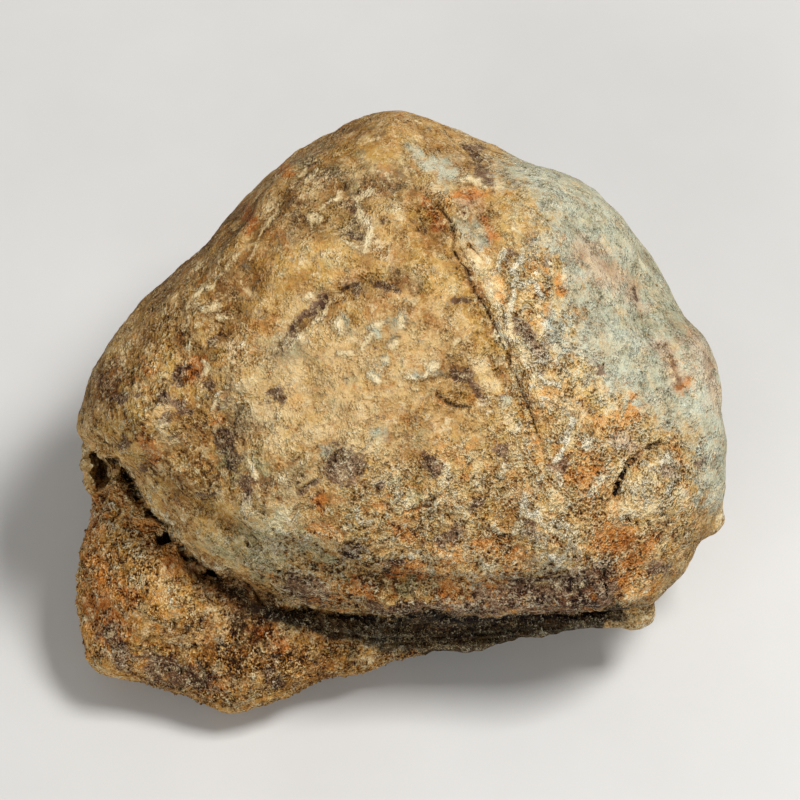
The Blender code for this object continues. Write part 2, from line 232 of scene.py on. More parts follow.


# %% [markdown]
# ## Cracks, furrows and seams
#
# Thin cuts make the stone read as broken and worn: the long crack along the furrow beside the dome, the
# crescent round the eye, the dark gap under the shield's edge, and the fine layers of the ledge. Each is
# a path with a half width and a depth, and the skin sinks along it. Geometry keeps these shadows true
# from every side, which a painted line can't do; the deeper cuts still get a painted shade later. A depth
# below 0 raises a low ridge instead, such as the furrow's right flank.

# %% Paths of the cuts, as (half width, depth, then across and up by turns)
CUTS = {
    "furrow_crack": (
        0.22, 0.34, 1.9, 21, 2.8, 20.1, 3.5, 19.2, 4.3, 18.2, 4.7, 16.8, 4.5, 15.6, 5.2, 14.4, 5.9,
        13.6, 6.4, 12.1, 6.9, 11.1, 7.7, 9.9, 8.5, 8.4, 9.2, 6.6, 10.1, 4.6, 11, 2.2, 11.9, 0.1, 12.6,
        -2, 13.8, -4.4,
    ),
    "furrow_flank": (
        0.7, -0.14, 5.6, 18, 5.7, 16, 6.4, 14.6, 7.4, 12.6, 8.8, 10.2, 10.3, 7, 11.4, 4.6, 12.4, 2,
        13.4, -0.6,
    ),
    "furrow_split": (0.2, 0.25, 5.8, 16.2, 6.8, 15.4, 7.7, 14.4),
    "eye_crack": (0.32, 1, 19.9, -8.2, 20.2, -7.1, 20.6, -6.2, 21, -5.4, 21.7, -4.6, 22.5, -4),
    "eye_line": (0.22, 0.6, 21, -5.4, 21.7, -4.6, 22.5, -4, 23.2, -3.4, 24.3, -3),
    "eye_tail": (0.16, 0.4, 18.8, -9.1, 19.2, -8.6, 19.6, -8.2),
    "cheek_nick_left": (0.16, 0.45, 21.3, -9.7, 21.3, -10.2, 21.6, -10.6),
    "cheek_nick_middle": (0.15, 0.4, 22, -10.4, 22.4, -11.1),
    "cheek_nick_right": (0.18, 0.5, 23.1, -10.3, 23.4, -11),
    "green_slit": (0.13, 0.25, 12.6, 19, 13.3, 18.7, 13.8, 18.2),
    "crust_split": (0.16, 0.5, 19.9, -13.9, 19.2, -15, 19.1, -16.4, 19.4, -17.8),
    "lens_lip": (0.3, 0.4, 3, 2.1, 3.8, 1.1, 4.8, 0.6, 6.3, 0.5),
    "lens_brow": (0.35, 0.2, 2.3, 2.9, 3.4, 3.4, 4.6, 3.7),
    "scar": (0.8, 0.14, -12.2, 7.9, -10.4, 8, -9, 8.7, -8, 9.8, -7.2, 10.8, -5.8, 11.4, -4.2, 11.6),
    "edge_slit": (0.5, 1.3, -28.1, -4.4, -27, -5.6, -26.2, -6.6, -25.6, -8, -25, -8.9),
    "edge_pit": (0.55, 0.9, -24.7, -9.5, -24.4, -9.7),
    "edge_line": (0.26, 0.8, -25, -8.9, -24.2, -9.8, -23, -10.7, -22, -11.4),
    "edge_hook": (0.34, 1, -21.5, -12.4, -21.2, -13.4, -20.9, -13.9, -20.3, -14, -19.4, -14.7),
    "corner_fold": (
        0.3, 0.4, -18.9, -15.3, -17.3, -15.7, -15.6, -16.2, -14.8, -16.6, -13.9, -17.7, -13.2, -18.7,
    ),
    "ledge_gap": (
        0.42, 0.7, -12.8, -19.1, -10, -18.9, -6.5, -19.4, -2, -19.8, 0.4, -19.7, 2.2, -19.1, 4.8, -19.8,
        9, -19.8, 12, -19.4, 16, -19.5, 20, -18.9, 23, -18.3,
    ),
    "ledge_seam": (
        0.18, 0.3, -8.8, -20.6, -6, -21.2, -3, -21.7, 1, -21.6, 5, -21.5, 9.6, -21, 12.5, -20.3,
    ),
    "lower_seam": (0.16, 0.25, -5.5, -21.9, -2, -22.2, 3, -22, 8, -21.8, 12, -21.4),
    "lump_groove": (0.9, 0.29, -16.3, -16.6, -15.6, -18.2, -14.9, -19.8),
    "lump_crack": (0.18, 0.6, -25.4, -22.8, -25, -22.1, -24.3, -21.7, -23.8, -21.5),
    "lump_nick": (0.16, 0.6, -20.3, -21.1, -20, -21.9, -20.1, -22.6),
    "lump_nick_upper": (0.15, 0.45, -21.9, -19.9, -21.9, -20.8),
    "shoulder_crack": (0.18, 0.5, -27.9, -10, -27.4, -9.7, -27.2, -9.1),
    "side_crack": (0.15, 0.4, -18.8, -4.8, -18.5, -5.3, -18.7, -5.7),
    "side_scratch": (0.2, 0.25, -9.9, -7.3, -9.2, -6.9, -8.4, -6.4),
    "front_scratch": (0.16, 0.25, -0.2, -9.5, 1.2, -9.3, 2.2, -8.6, 3.2, -8.1, 3.6, -7.6),
    "brow_scratch": (0.14, 0.15, -4.1, 1.2, -3.2, 1.1, -2.4, 0.7),
    "shell_ring": (0.2, 0.35, 15.2, -9.9, 14.7, -10.1, 14.3, -10.6, 14.3, -11.1, 14.7, -11.4),
    "front_fold": (0.3, 0.3, 17.2, -13.5, 17.4, -14.2, 17.1, -14.9),
}
print("cuts:", len(CUTS))

# %% [markdown]
# ## Veins and crusts
#
# Veins and scales of chalky crust stand a little proud of the stone. They are listed in the same way, by
# the part of the face that they lie on, and are used three times: to raise the skin here, to whiten it
# later, and to ring it with a painted shadow.

# %% Paths of the chalk, as (half width, then across and up by turns)
CHALK = {
    "crown": [
        (0.3, -3.2, 21.2, -3.8, 20.7, -4.5, 20.3, -4.3, 19.4, -4.1, 18.6),
        (0.42, -3.7, 18.2, -3.2, 17.4, -3.5, 16.7, -3.9, 15.6),
        (0.2, -5.7, 16.4, -4.9, 15.8, -3.9, 15.5), (0.45, -8.9, 18.4, -8.3, 18.5),
        (0.2, -8.9, 18.2, -8.9, 17.3), (0.3, -6.4, 21), (0.2, -7.8, 19.6, -7, 20.1, -6.3, 20.4),
        (0.35, -8.9, 11.2, -9.6, 10.8),
    ],
    "dome": [
        (0.1, -10, 7.2, -9, 8.2, -8, 9.2, -6.9, 10.6), (0.4, -6.4, 8.5, -6.2, 7.7),
        (0.3, -3.3, 8.1, -2.4, 8.4), (0.24, -3.2, 7.6, -3.6, 6.8, -4.1, 6), (0.22, -6.4, 5.6, -5, 5.6),
        (0.34, -0.5, 8.8, -0.3, 8.1), (0.34, -0.6, 6.8, -1.2, 6.3), (0.42, -1.7, 4.9),
        (0.34, -3.3, 3.6, -2.5, 3), (0.36, 0.4, 3.4, 0.9, 3.2), (0.42, 1.8, 3.3, 2.5, 4, 3, 4.4),
        (0.3, 4.4, 5.6, 4.9, 6.8),
    ],
    "left_slope": [
        (0.13, -8.9, 24.6, -9.6, 22.9, -10.4, 21.9, -11.3, 21, -12.3, 19, -13.6, 17.2, -14.2,
         15.7, -14.8, 14.4),
        (0.12, -8.4, 23.1, -9.3, 22.2, -10.2, 21.6), (0.2, -15.9, 15, -16.6, 14.4, -17, 13.6),
        (0.2, -17.5, 13.1, -18.1, 12.4, -18.2, 11.7), (0.22, -18.2, 11.8, -19.2, 11.8, -20, 11.2),
        (0.25, -17.9, 10.1, -18.9, 9.8, -19.8, 10.1),
        (0.22, -20.8, 10.2, -20.8, 9.3, -20.6, 8.6, -21.2, 7.9), (0.3, -17.4, 8.9, -18.1, 9.1),
        (0.22, -20.7, 7, -20.8, 6.2), (0.3, -19.2, 4.9, -18.8, 4.3, -19, 3.7),
        (0.16, -16.9, 2.4, -18, 1.6, -18.1, 0.4), (0.25, -20, 1.3, -19.7, 0.6),
        (0.3, -14.7, -5, -14.3, -5.8, -14, -6.3), (0.2, -15.6, -8.6, -14.8, -8.9),
    ],
    "right_band": [
        (0.4, 5.6, 22.1, 6.3, 22.2, 6.9, 22), (0.14, 7.2, 21.8, 7.7, 21.3),
        (0.14, 5.2, 19.3, 5.8, 19.4, 6.1, 18.9, 5.6, 18.4, 5.1, 18.8),
        (0.3, 9.5, 15.3, 9, 14.4, 9.1, 13.4), (0.3, 9.7, 8.9, 10.1, 10.4, 10.4, 11.6, 10.6, 12.7),
        (0.2, 10.3, 11.8, 11.5, 12.4, 12.2, 12.3, 12.8, 11.2, 13.2, 10.7),
        (0.22, 10.6, 12.7, 10.1, 13.5, 11.1, 14.5, 11.2, 15.5),
        (0.18, 13.7, 14.2, 13.8, 13, 13.4, 11.9), (0.2, 10.3, 17.5, 10.9, 17, 11.5, 16.5),
        (0.2, 8.6, 7.6, 9, 6.8, 9.3, 6), (0.2, 12.5, 4.8, 12.4, 3.9, 13, 3.2, 13.7, 2.8, 14.5, 2.5),
        (0.16, 12.6, 4.9, 13.3, 4.8, 13.6, 5.3), (0.13, 13, 0.6, 13.1, 1.3, 13.6, 1.1),
    ],
    "cheek": [
        (0.4, 16.1, -0.7, 15.8, -1.2), (0.5, 15.6, -2.1, 15.1, -2.7), (0.3, 15.2, -3.5, 14.8, -3.7),
        (0.3, 14.9, -4, 14.4, -4.6), (0.55, 17.5, -2.4, 17.3, -3.2), (0.34, 14.5, -6.1, 14.7, -6.6),
        (0.42, 18.8, -6.3, 18.1, -7.1, 17.7, -7.9),
        (0.5, 11.5, -7.9, 11.4, -8.8, 11.1, -9.6, 12.2, -9.6), (0.34, 10.9, -10.5, 10.4, -11.5),
        (0.4, 9.4, -5.3, 9, -5.9), (0.18, 15.3, -10.4, 15.6, -10.9, 15.2, -11.6),
        (0.24, 16.1, -12.8, 16.4, -13.2), (0.5, 14, -13.6, 14.6, -14.5), (0.36, 24.9, -4.3, 24.6, -4.9),
        (0.3, 25.5, -6.9, 25, -7.6), (0.22, 10.7, -1.6, 10.9, -1.1),
    ],
    "ledge": [
        (0.1, -2.9, -20.1, -2.1, -20.3, -1.2, -20.2, -0.3, -20.4), (0.1, -2.6, -19.2, -2, -19.6),
        (0.08, 0.8, -20.1, 1.7, -19.5, 2.6, -19.4, 3.4, -19.8),
        (0.1, -6.1, -21, -2.6, -21.4, 0.6, -21.6, 2.4, -21.4),
        (0.13, 4.4, -21.1, 6.8, -21.2, 8.6, -21.1, 10.8, -20.8, 12, -20.4),
    ],
    "rim": [
        (0.16, -27, -5, -26.1, -5.7, -25.7, -6.8, -25.2, -7.9, -24.9, -8.7),
        (0.16, -24.1, -9.3, -23, -9.9, -22, -11, -21.3, -12, -21, -13),
        (0.14, -20.4, -13.7, -19.6, -14.1, -18.6, -14.7, -17.4, -15),
    ],
}


def chalk_strokes():
    return [stroke for strokes in CHALK.values() for stroke in strokes]


print("strokes of chalk:", len(chalk_strokes()))

# %% [markdown]
# ## Cutting and raising the skin
#
# The rims of the open hollows are broken up first. A crack that is narrower than the skin's faces would
# break up into dots. So the vertices that lie almost on a line are slid onto it, along the surface, and the
# cut then has a clean bottom edge. After that each vertex moves along its normal: in for the cuts, out for
# the chalk.

# %% Cut and raise the skin
RIDGE_HEIGHT = 0.45
RIDGE_SPREAD = 1.7
SLIDE_REACH = 0.12
WIDEST_LINE = 0.45
STEEPEST_CLIMB = 0.3
HOLES = ((-29.3, -5.4, 3.6), (-22.8, -12.2, 2.4), (-18.5, -15.6, 2.4))  # across, up, reach
HOLE_FLOOR = -6.0
RIM_BREAKS = ((1.1, 0.75), (0.45, 0.35))  # size and strength of the noise


def slide_onto_lines(mesh, front):
    """Slides the vertices that nearly touch a thin line onto it."""
    places = face_places(mesh)
    normals = face_normals(mesh)
    seen = as_seen(places)
    best = np.full(len(seen), SLIDE_REACH)
    slide = np.zeros((len(seen), 2))
    thin = [path for _, _, *path in CUTS.values()]
    thin += [path for half_width, *path in chalk_strokes() if half_width < WIDEST_LINE and len(path) > 2]
    for path in thin:
        distance, step, _ = along(path, seen)
        nearer = (distance < best) & (front > 0.5)
        best[nearer] = distance[nearer]
        slide[nearer] = step[nearer]
    climb = -(slide * normals[:, :2]).sum(axis=1) / np.maximum(normals[:, 2], 0.2)
    moves = np.column_stack([slide, np.clip(climb, -STEEPEST_CLIMB, STEEPEST_CLIMB)])
    write(mesh, read(mesh, "co") + moves @ TO_FACE[:3, :3])
    print("vertices slid onto lines:", int((best < SLIDE_REACH).sum()))


def uneven(seen):
    """A share between about 0.6 and 1.6 at each spot, so that no line keeps one width."""
    return 1.1 + np.array([0.55 * noise.noise((x / 0.7, y / 0.7, 5.0)) for x, y in seen])


def lift_of_lines(seen):
    """How far each vertex rises, in millimetres: more than 0 on chalk and less than 0 in cuts."""
    lift = np.zeros(len(seen))
    width = uneven(seen)
    for half_width, *path in chalk_strokes():
        distance = along(path, seen)[0] / (half_width * RIDGE_SPREAD)
        lift = np.maximum(lift, RIDGE_HEIGHT * min(half_width, 0.4) * (1 - ramp(0, 1, distance)))
    for half_width, depth, *path in CUTS.values():
        distance, _, share = along(path, seen)
        taper = ramp(-0.02, 0.12, share) * ramp(-0.02, 0.12, 1 - share)
        lift -= depth * taper * (1 - ramp(0, 1, distance / (half_width * width)))
    return lift


def break_hole_rims(mesh):
    """Pushes the rims and walls of the hollows about, sideways, so that they look broken."""
    places = face_places(mesh)
    seen = as_seen(places)
    moves = np.zeros_like(places)
    for across, up, reach in HOLES:
        near = 1 - ramp(0.6 * reach, reach, np.hypot(seen[:, 0] - across, seen[:, 1] - up))
        for index in np.flatnonzero((near > 0) & (places[:, 2] > HOLE_FLOOR)):
            push = Vector()
            for size, strength in RIM_BREAKS:
                push += strength * noise.noise_vector(Vector(places[index]) / size)
            moves[index] = near[index] * np.array((push.x, push.y, 0.0))
    write(mesh, read(mesh, "co") + moves @ TO_FACE[:3, :3])


def carve(mesh):
    break_hole_rims(mesh)
    front = facing(mesh, 0.0, 0.25)
    slide_onto_lines(mesh, front)
    lift = lift_of_lines(as_seen(face_places(mesh))) * front
    write(mesh, read(mesh, "co") + read(mesh, "normal") * lift[:, None])
    print("deepest cut and highest ridge, in millimetres:", lift.min(), lift.max())


carve(stone.data)

# %% [markdown]
# ## Stains
#
# Iron and manganese stained the stone in families: cream and ochre where it is worn, pale green clay on one
# shoulder, rust round the eye, purple-brown specks in the low places. Each family is a list of strokes,
# given as a half width and a path, as if painted with a round brush. Loops and noise can't say where the
# stains belong, so the strokes are placed one by one, and noise in the material frays their edges later.

# %% Strokes of each stain, as (half width, then across and up by turns)
STAINS = {
    "cream": [
        (3.6, -12.5, 2.5, -8, 1, -4.5, -2), (2.6, -9, 5.2, -3, 6, 3, 6.5), (1.6, -13.5, -0.5, -11, -3),
        (1, -2.4, 2.2, 0.4, 1.6), (1, 7.4, 4.6, 8.2, 2.6), (0.7, -9.4, 20.2, -8.8, 19.6),
        (0.9, 3.8, 9.4, 5, 8.6), (0.8, 7, 14.4, 9.2, 9.9, 10.6, 6.2, 11.4, 3.4),
        (1.2, 10.4, 17.2, 8, 18.2), (1.4, 23.4, 12.2, 24.6, 9.8), (0.7, 25.2, -4, 25.6, -5.2),
        (0.5, 17.2, -2.4, 17.9, -3.4), (0.5, 18.4, -6.2, 17.4, -7.4), (1.1, 16.2, -13, 14.2, -14.4),
        (0.8, 17.8, 2.8, 19.2, 2.3), (0.7, 10.2, -13.2, 11.2, -14.8), (1.1, 6.6, -13.4, 8.2, -15.4),
        (0.6, 24, -14.4), (0.9, -10.8, 9.9, -8.6, 11.4), (1, 10.2, -8, 12.8, -9.4),
    ],
    "yellow": [
        (0.9, -27.6, -2.6, -25, -4.6), (1.2, -18.6, -10.8, -15.8, -13.2), (0.9, -22.4, 5.2, -21, 2.2),
        (1.3, -7, 23.4, -4, 24.6, 0, 24.8), (2.4, -11, 15, -8.6, 13.4), (0.8, 1.4, 18.6),
        (0.8, 11.2, 20.6, 12.6, 19.4, 13.4, 18), (0.6, 4.6, 13.8, 6.4, 10.2, 8.2, 6.2),
        (0.6, 14.4, 14.2, 15, 12.6, 15.8, 11), (0.5, 15.7, 8.4, 16, 5.8, 16.5, 3.2),
        (1, 17.2, 1.4, 19.4, 0.3), (0.9, 13.4, 21, 16.2, 20.4), (1, 11.6, 10.8),
        (1.2, 9.8, 20, 10.4, 19.4), (0.9, 9.5, 17.8, 9.3, 16.6), (1.2, -7.4, 18.4, -6.4, 17.6),
        (1.6, 4.2, 12, 6.2, 9.6), (0.6, 8.9, -7.5), (0.9, 8, -9.4), (1.5, -18.4, -8.4, -16.6, -9.6),
        (1.2, -24.2, -8.6, -23, -7), (1.4, -28, -1.5, -26, 0.5), (0.8, -19.4, -6), (0.7, -19.5, 1.5),
        (0.5, -19.5, 7.2), (0.9, -1, -22.8), (0.8, -22.5, -1.5), (1.2, -13, 11, -11.6, 12.6),
        (1, 13.6, -8.2, 15.2, -8.6), (0.9, 13, -12.6, 14.6, -13.2), (0.7, -26.8, -8.8, -25.4, -10.2),
        (1.4, 1, 14.6, 2.4, 12.8),
    ],
    "green": [
        (0.6, 0.4, 24.8, 1.8, 23.9, 2.2, 23.1), (0.8, 2.8, 24.1, 4, 24), (0.8, 3.4, 22.4, 4.4, 22.6),
        (0.5, -6.1, 8.2), (0.7, -0.9, 8.7), (0.6, -1, 6.5), (0.5, -2.8, 8, -2.5, 7.2), (0.5, -1.6, 4.8),
        (0.7, -3, 3.5), (0.8, -2.6, -2.3), (0.4, -7.5, -3.3), (0.5, 9.5, 1), (0.5, 0.9, 3.5),
        (0.7, 2.7, 4), (1.5, 14.4, 8.4, 15.4, 6.8), (1.2, 16.2, 13.4, 17.2, 10.4),
        (0.9, 6.2, 17.4, 7, 16.6), (1.2, 14.2, 19.6, 15.8, 18.8), (0.25, 8.8, 8.2, 9.4, 6.6),
    ],
    "low_green": [
        (2, -14.2, -12.4), (1.8, -13, -14, -12.2, -11.4), (1.4, -9.6, -12.8), (1, -7.6, -14),
        (0.8, 2.4, -15.8), (0.8, 3, -17), (0.8, -0.6, -16.8, 0.6, -16.6), (0.7, -0.9, -6.8),
        (0.6, 0.8, -8.3), (1, -18, -12.6, -16.4, -13.6), (0.5, -5, -15.8),
        (0.8, -15, -4.4, -13.8, -5.2), (0.9, -17.2, -4.2, -15.8, -5.6),
    ],
    "rust": [
        (1.6, -28.8, -17, -27.8, -21.4), (0.6, -9, -17.4, -6.4, -18), (0.8, -1, -15.6, 1, -15),
        (0.9, 8, -18.2, 12, -18.6), (0.8, 14, -19, 18, -17.8), (0.6, -27.8, -16.4, -26.4, -17.8),
        (0.7, -19.6, 4.8, -20.2, 3.4), (0.6, -24, 4.6), (0.6, -17.8, -0.6), (1.3, 4.6, -17.2, 8.8, -17),
        (0.8, -5.2, -16.6, -3.6, -17.2), (0.7, -1.2, -11, 0.4, -11.6), (0.8, -20.6, -25, -18, -25.8),
        (0.9, -14, -21, -12, -22.2), (1.1, 3.8, -13.6, 5.6, -15.4, 7.4, -16.6),
        (1.3, 19.6, -15.6, 22.6, -16.2), (0.9, 7.2, -12.6, 9.2, -13.8), (1.2, 15, -3.6, 15.6, -6.2),
        (0.8, 21, -11.8, 19.4, -13.4), (0.6, 11.8, 11.8, 12.8, 11.2), (0.8, 12.2, 8.4, 12.6, 9.8),
        (0.5, 14.8, 12.6, 15.4, 11.4), (0.6, 12, 13.6), (0.5, 21.6, 0.6), (0.6, 26.5, 2.5),
        (0.6, 5.2, 20.6, 7, 20.4), (0.8, -11.5, 23.2), (0.6, -15.2, 19.2, -14.4, 17.8), (0.8, -8.2, -9),
        (0.8, -8, -11.2), (0.4, -3.4, -8.8, -1.8, -9), (0.3, 0, -9.4, 1, -9.3),
        (0.2, 1.2, -9.3, 3.5, -7.8), (0.8, 4.6, -13.4, 5.2, -14.6, 3.4, -15), (1, 10.5, -15),
        (1.2, 21.6, -14.8), (1.5, 21.3, -16.5), (1.3, 16.2, -4.6, 17.2, -5.6), (0.9, 12.8, 1.6),
        (0.7, 18.2, -6.6, 17, -8.4), (0.6, 17, -3), (0.9, 19, -1.2, 21.6, -0.4),
        (0.4, 25.6, -3.5, 26.7, -5.2, 26.9, -7), (0.9, 10.6, -13.4), (0.6, 13.2, -17),
        (0.6, 17.5, -18.8), (1.1, 19.4, -10.6, 18.4, -12.4), (0.8, 23.4, -12, 22.4, -13.2),
        (0.6, 9.2, 12, 9, 10.6), (0.7, 7.4, 18.4, 8.4, 16.8), (0.6, 14, -12.4), (0.5, 6, -6.4),
        (1.2, -29.8, -9.4, -29.6, -14, -29.4, -18), (1, -27.4, -8, -24.4, -11.4, -21.6, -14.6),
        (0.4, 2, 20.4, 3.6, 17.8), (0.8, -24.8, -3, -23.4, -4.2),
    ],
    "dark": [
        # The first stroke here is painted shadow: a dark line along the foot of the shield, above the
        # ledge's gap
        (0.7, -3, -18.6, 3, -18.7, 9, -18.5, 14, -18.8, 19, -18), (0.9, 9.5, -17.2, 13, -16.6),
        (0.45, -10.6, 7.6, -9.4, 8.9, -8.4, 9.9, -7.4, 11), (0.4, -2.8, 12.1, -1, 11.8),
        (0.3, -5.6, 11.5, -4.8, 11.6), (0.3, -4.4, 16.9, -5.2, 17.2), (0.3, -5, 20, -4.8, 19),
        (0.4, -1.5, 18.3), (0.4, 2.2, 17.4), (0.3, 4.5, 10.9, 5.8, 10.4), (0.3, 3.4, 11.2),
        (0.6, 10.5, 8.6, 11.4, 7.5, 12.6, 6.3, 13.2, 5.4), (0.35, 12.9, 4.1), (0.7, 6.6, 25.4, 7.1, 24),
        (0.45, 7.3, 23.2, 8.1, 22.1, 8.5, 21.3), (0.5, 18.5, 4), (0.6, 10, 14.7), (0.6, -12, 1.4),
        (0.6, -17.2, -2.3, -16.9, -3.2), (0.9, -16, -4.6), (0.8, -14.8, -6.6, -15, -8),
        (0.6, -18.9, 2.6), (0.6, -18.5, 6.5), (0.3, -28, 1.5, -25, 1.6),
        (0.45, -23, 1.2, -21.5, 0.6, -21.2, 0.1), (0.5, -22.3, -0.6), (0.5, -26.8, -2.8),
        (0.4, -21.5, -2.6), (0.5, -25, -5), (0.4, -17.8, -7.5, -19.5, -7.8),
        (0.3, -9.9, -7.3, -8.4, -6.4), (0.3, -10.8, -6.8), (1.6, -6.4, -5.2, -5.4, -5.2),
        (0.7, -2.2, -6.8), (0.5, 5, 3.8, 6.4, 3.2, 7.2, 1.6), (0.8, 4.6, -11.6), (0.6, 3.4, -12.4),
        (0.3, 6.5, -9.2, 6.9, -8.4, 8, -8.3), (0.5, -2, -14.8, 0, -14.5),
        (0.5, -5.5, -13.3, -3.8, -13.1), (1, 12, -11), (1.6, 10.4, -17.2, 15, -17.2, 18.4, -16.6),
        (0.9, 17.4, -15.4, 19, -15.2), (0.8, 24.3, -15), (0.4, 16.8, -14), (0.7, 25.3, -5.5),
        (0.5, 28.4, -4.6), (0.8, 14.9, -4.8), (0.9, -28, -21, -26, -23.5), (1, -24, -24.2, -19, -25.6),
        (0.5, -12.3, -23.4), (0.5, -13, -24.8), (0.5, -12, -26), (0.4, -8.6, -20.8),
        (0.5, -17.8, -21.8), (0.3, 21.4, 11.8, 21.9, 10.8), (0.9, 6.6, -17.6, 8.4, -17.8),
        (1, -10.6, -16.4, -8, -17.2), (0.6, 8.6, -3.4, 9.4, -4.4), (0.6, 1.6, -4.4, 2.6, -5.2),
        (0.5, -20.6, 4.2, -21.6, 3),
    ],
    "grey": [
        (1.6, -9.6, 23.6, -6.6, 22.4, -2, 22.6, 0, 21.8), (1.4, -5.4, 21, -5, 19, -4.8, 16.6),
        (0.7, 16.4, 17.4, 17, 16.9, 18.2, 15.8, 19.6, 14.8, 21.5, 13.2), (1.4, -14.6, -8.6, -11.6, -10),
        (1.6, -16.4, 2.4, -15.4, -1), (0.35, 3.6, -5.7), (1, -9.2, -5.2, -11, -6.4),
        (0.8, -0.4, 13.4, 1.2, 12.2), (1.2, -10.6, 6.6, -12.4, 5.4),
    ],
    "grime": [
        (1, -4.6, 16.8), (1.6, -5.4, 20.4, -5, 18.6), (1.8, -8.4, 22.4, -6.4, 21.6),
        (1, -3, 22.2, -1, 21.8), (1.6, -8.6, 20.6, -6, 20.8), (1.4, -10.4, 18.6, -11, 16.6),
        (0.6, -10.6, 7.5, -9.4, 8.8, -8.3, 9.9, -7.2, 11.2), (0.5, -5.6, 12.2, -4.3, 11.5),
        (1, -10.6, 6.6, -12.4, 5.4), (1, -16.4, 1.6, -15.4, -1.6), (1, -13.6, -6.6, -11, -7.4),
    ],
    "pink": [
        (1.2, 27.5, 6.8, 29, 4, 29.6, 1.6), (1.3, 17.4, 15.2, 19.8, 12.8), (0.8, 21, 12, 22, 10.4),
        (0.8, 24.2, 6.2, 25.4, 5.2, 26.4, 3), (0.9, 6.2, 19.8), (0.9, 20.4, -2.4, 21.4, -3.4),
        (0.8, -28.6, 2.8),
    ],
    "brown": [
        (0.7, -28.9, 1.2, -28.2, 2.8, -27.6, 4.2),
        # The first stroke on the next line follows the slit under the shield's edge: painted shadow
        (0.35, -28.1, -4.5, -27, -5.7, -26.2, -6.8, -25.5, -8.2), (0.14, 4.6, 17, 4.5, 15.6, 5.2, 14.4),
        (0.4, 6, 13.4, 6.6, 11.8, 7.4, 10.3),
        (0.14, 7.9, 9.4, 9.2, 6.6, 10.1, 4.6, 11.2, 1.8, 12.6, -2), (0.8, -16, -17.2, -15.7, -20.4),
        (0.25, 25, 5.4, 25.8, 4, 26.4, 2.4), (1.2, -18.4, -16.4, -15, -18.4, -12.8, -19.4),
        # Painted shadow in the corner under the shield's edge
        (0.5, -20.6, -14.4, -18.6, -15.6, -16.6, -16.2, -14.6, -17.2),
    ],
}
print("strokes:", {name: len(strokes) for name, strokes in STAINS.items()})

# %% [markdown]
# ## Areas
#
# Where a stain covers a whole part of the stone, its outline says so in fewer numbers than brush strokes
# would. The green clay of the right shoulder, the matrix lump, the ledge and the dark foot of the shield
# are such areas, each with the width over which its edge fades. The ledge's near-black colour is partly its
# own dark layers and partly painted shadow under the shield's edge. Two more say where the stone is gritty
# and where it is rusty.

# %% Outlines of the areas, as (fade, then across and up by turns)
AREAS = {
    "green": (
        2.6, 8.2, 22.8, 9.8, 21.6, 11.8, 20.4, 13.4, 18.2, 12.9, 16, 14, 14.5, 15.9, 12.5, 16.3, 9,
        16.2, 6, 17, 4, 19.5, 2, 21.6, 0.6, 24.5, -1, 27.5, -3, 28, -8.5, 30, -9.5, 36, -4, 33, 12, 22,
        22, 12, 27,
    ),
    "matrix": (
        0.7, -29.6, -8.2, -26.6, -9.2, -24.6, -11, -22.6, -13.4, -20.6, -15.4, -18.4, -16.8, -15.2,
        -18.6, -12, -20.4, -9, -21.4, -4, -22.4, 2, -23, 2, -32, -36, -32, -36, -8.4,
    ),
    "ledge": (
        0.7, -18.8, -15.8, -15.2, -17.4, -12.2, -18.9, -8, -19, -2, -19.5, 5, -19.5, 12, -19.4, 17,
        -19.3, 20.5, -18.4, 21, -19.8, 17, -21.6, 12, -24, 0, -23, -6, -21.9, -9, -20.9, -12.5, -20,
        -16, -17.9,
    ),
    "foot": (
        1.4, 2, -18.8, 8, -18.2, 9, -16.8, 11, -16.2, 13.6, -16.8, 16.4, -15.2, 19.5, -15, 20.3, -17.5,
        18, -20, 8, -20.6, 2, -20.2,
    ),
    # The slope's darker olive is partly the stone's own colour and partly painted shade on the left side,
    # turned from the lamp
    "slope": (4, -33, 2, -27, 1, -21, 2, -17.5, 6, -15, 12, -12, 19, -9.5, 24, -14, 28, -36, 14),
    "gritty": (
        2.6, 9, 15, 13, 16, 15.5, 12, 16, 8, 18, 2.5, 23, -0.5, 28, -4, 28.5, -12, 26, -19, 18, -22, 0,
        -22.5, -13, -20.5, -14, -13.5, -6, -9, 1, -5, 8, -3, 9, 5,
    ),
    "rusty": (
        2.6, 12, 2, 14.6, 2.2, 17.6, 0.8, 20.4, -1.6, 20.6, -6, 21, -10, 25, -11.4, 26.4, -14, 22, -17,
        16, -15.6, 9, -15, 3, -14, 4, -10, 9, -7, 11.6, -3,
    ),
}
print("areas:", *AREAS)
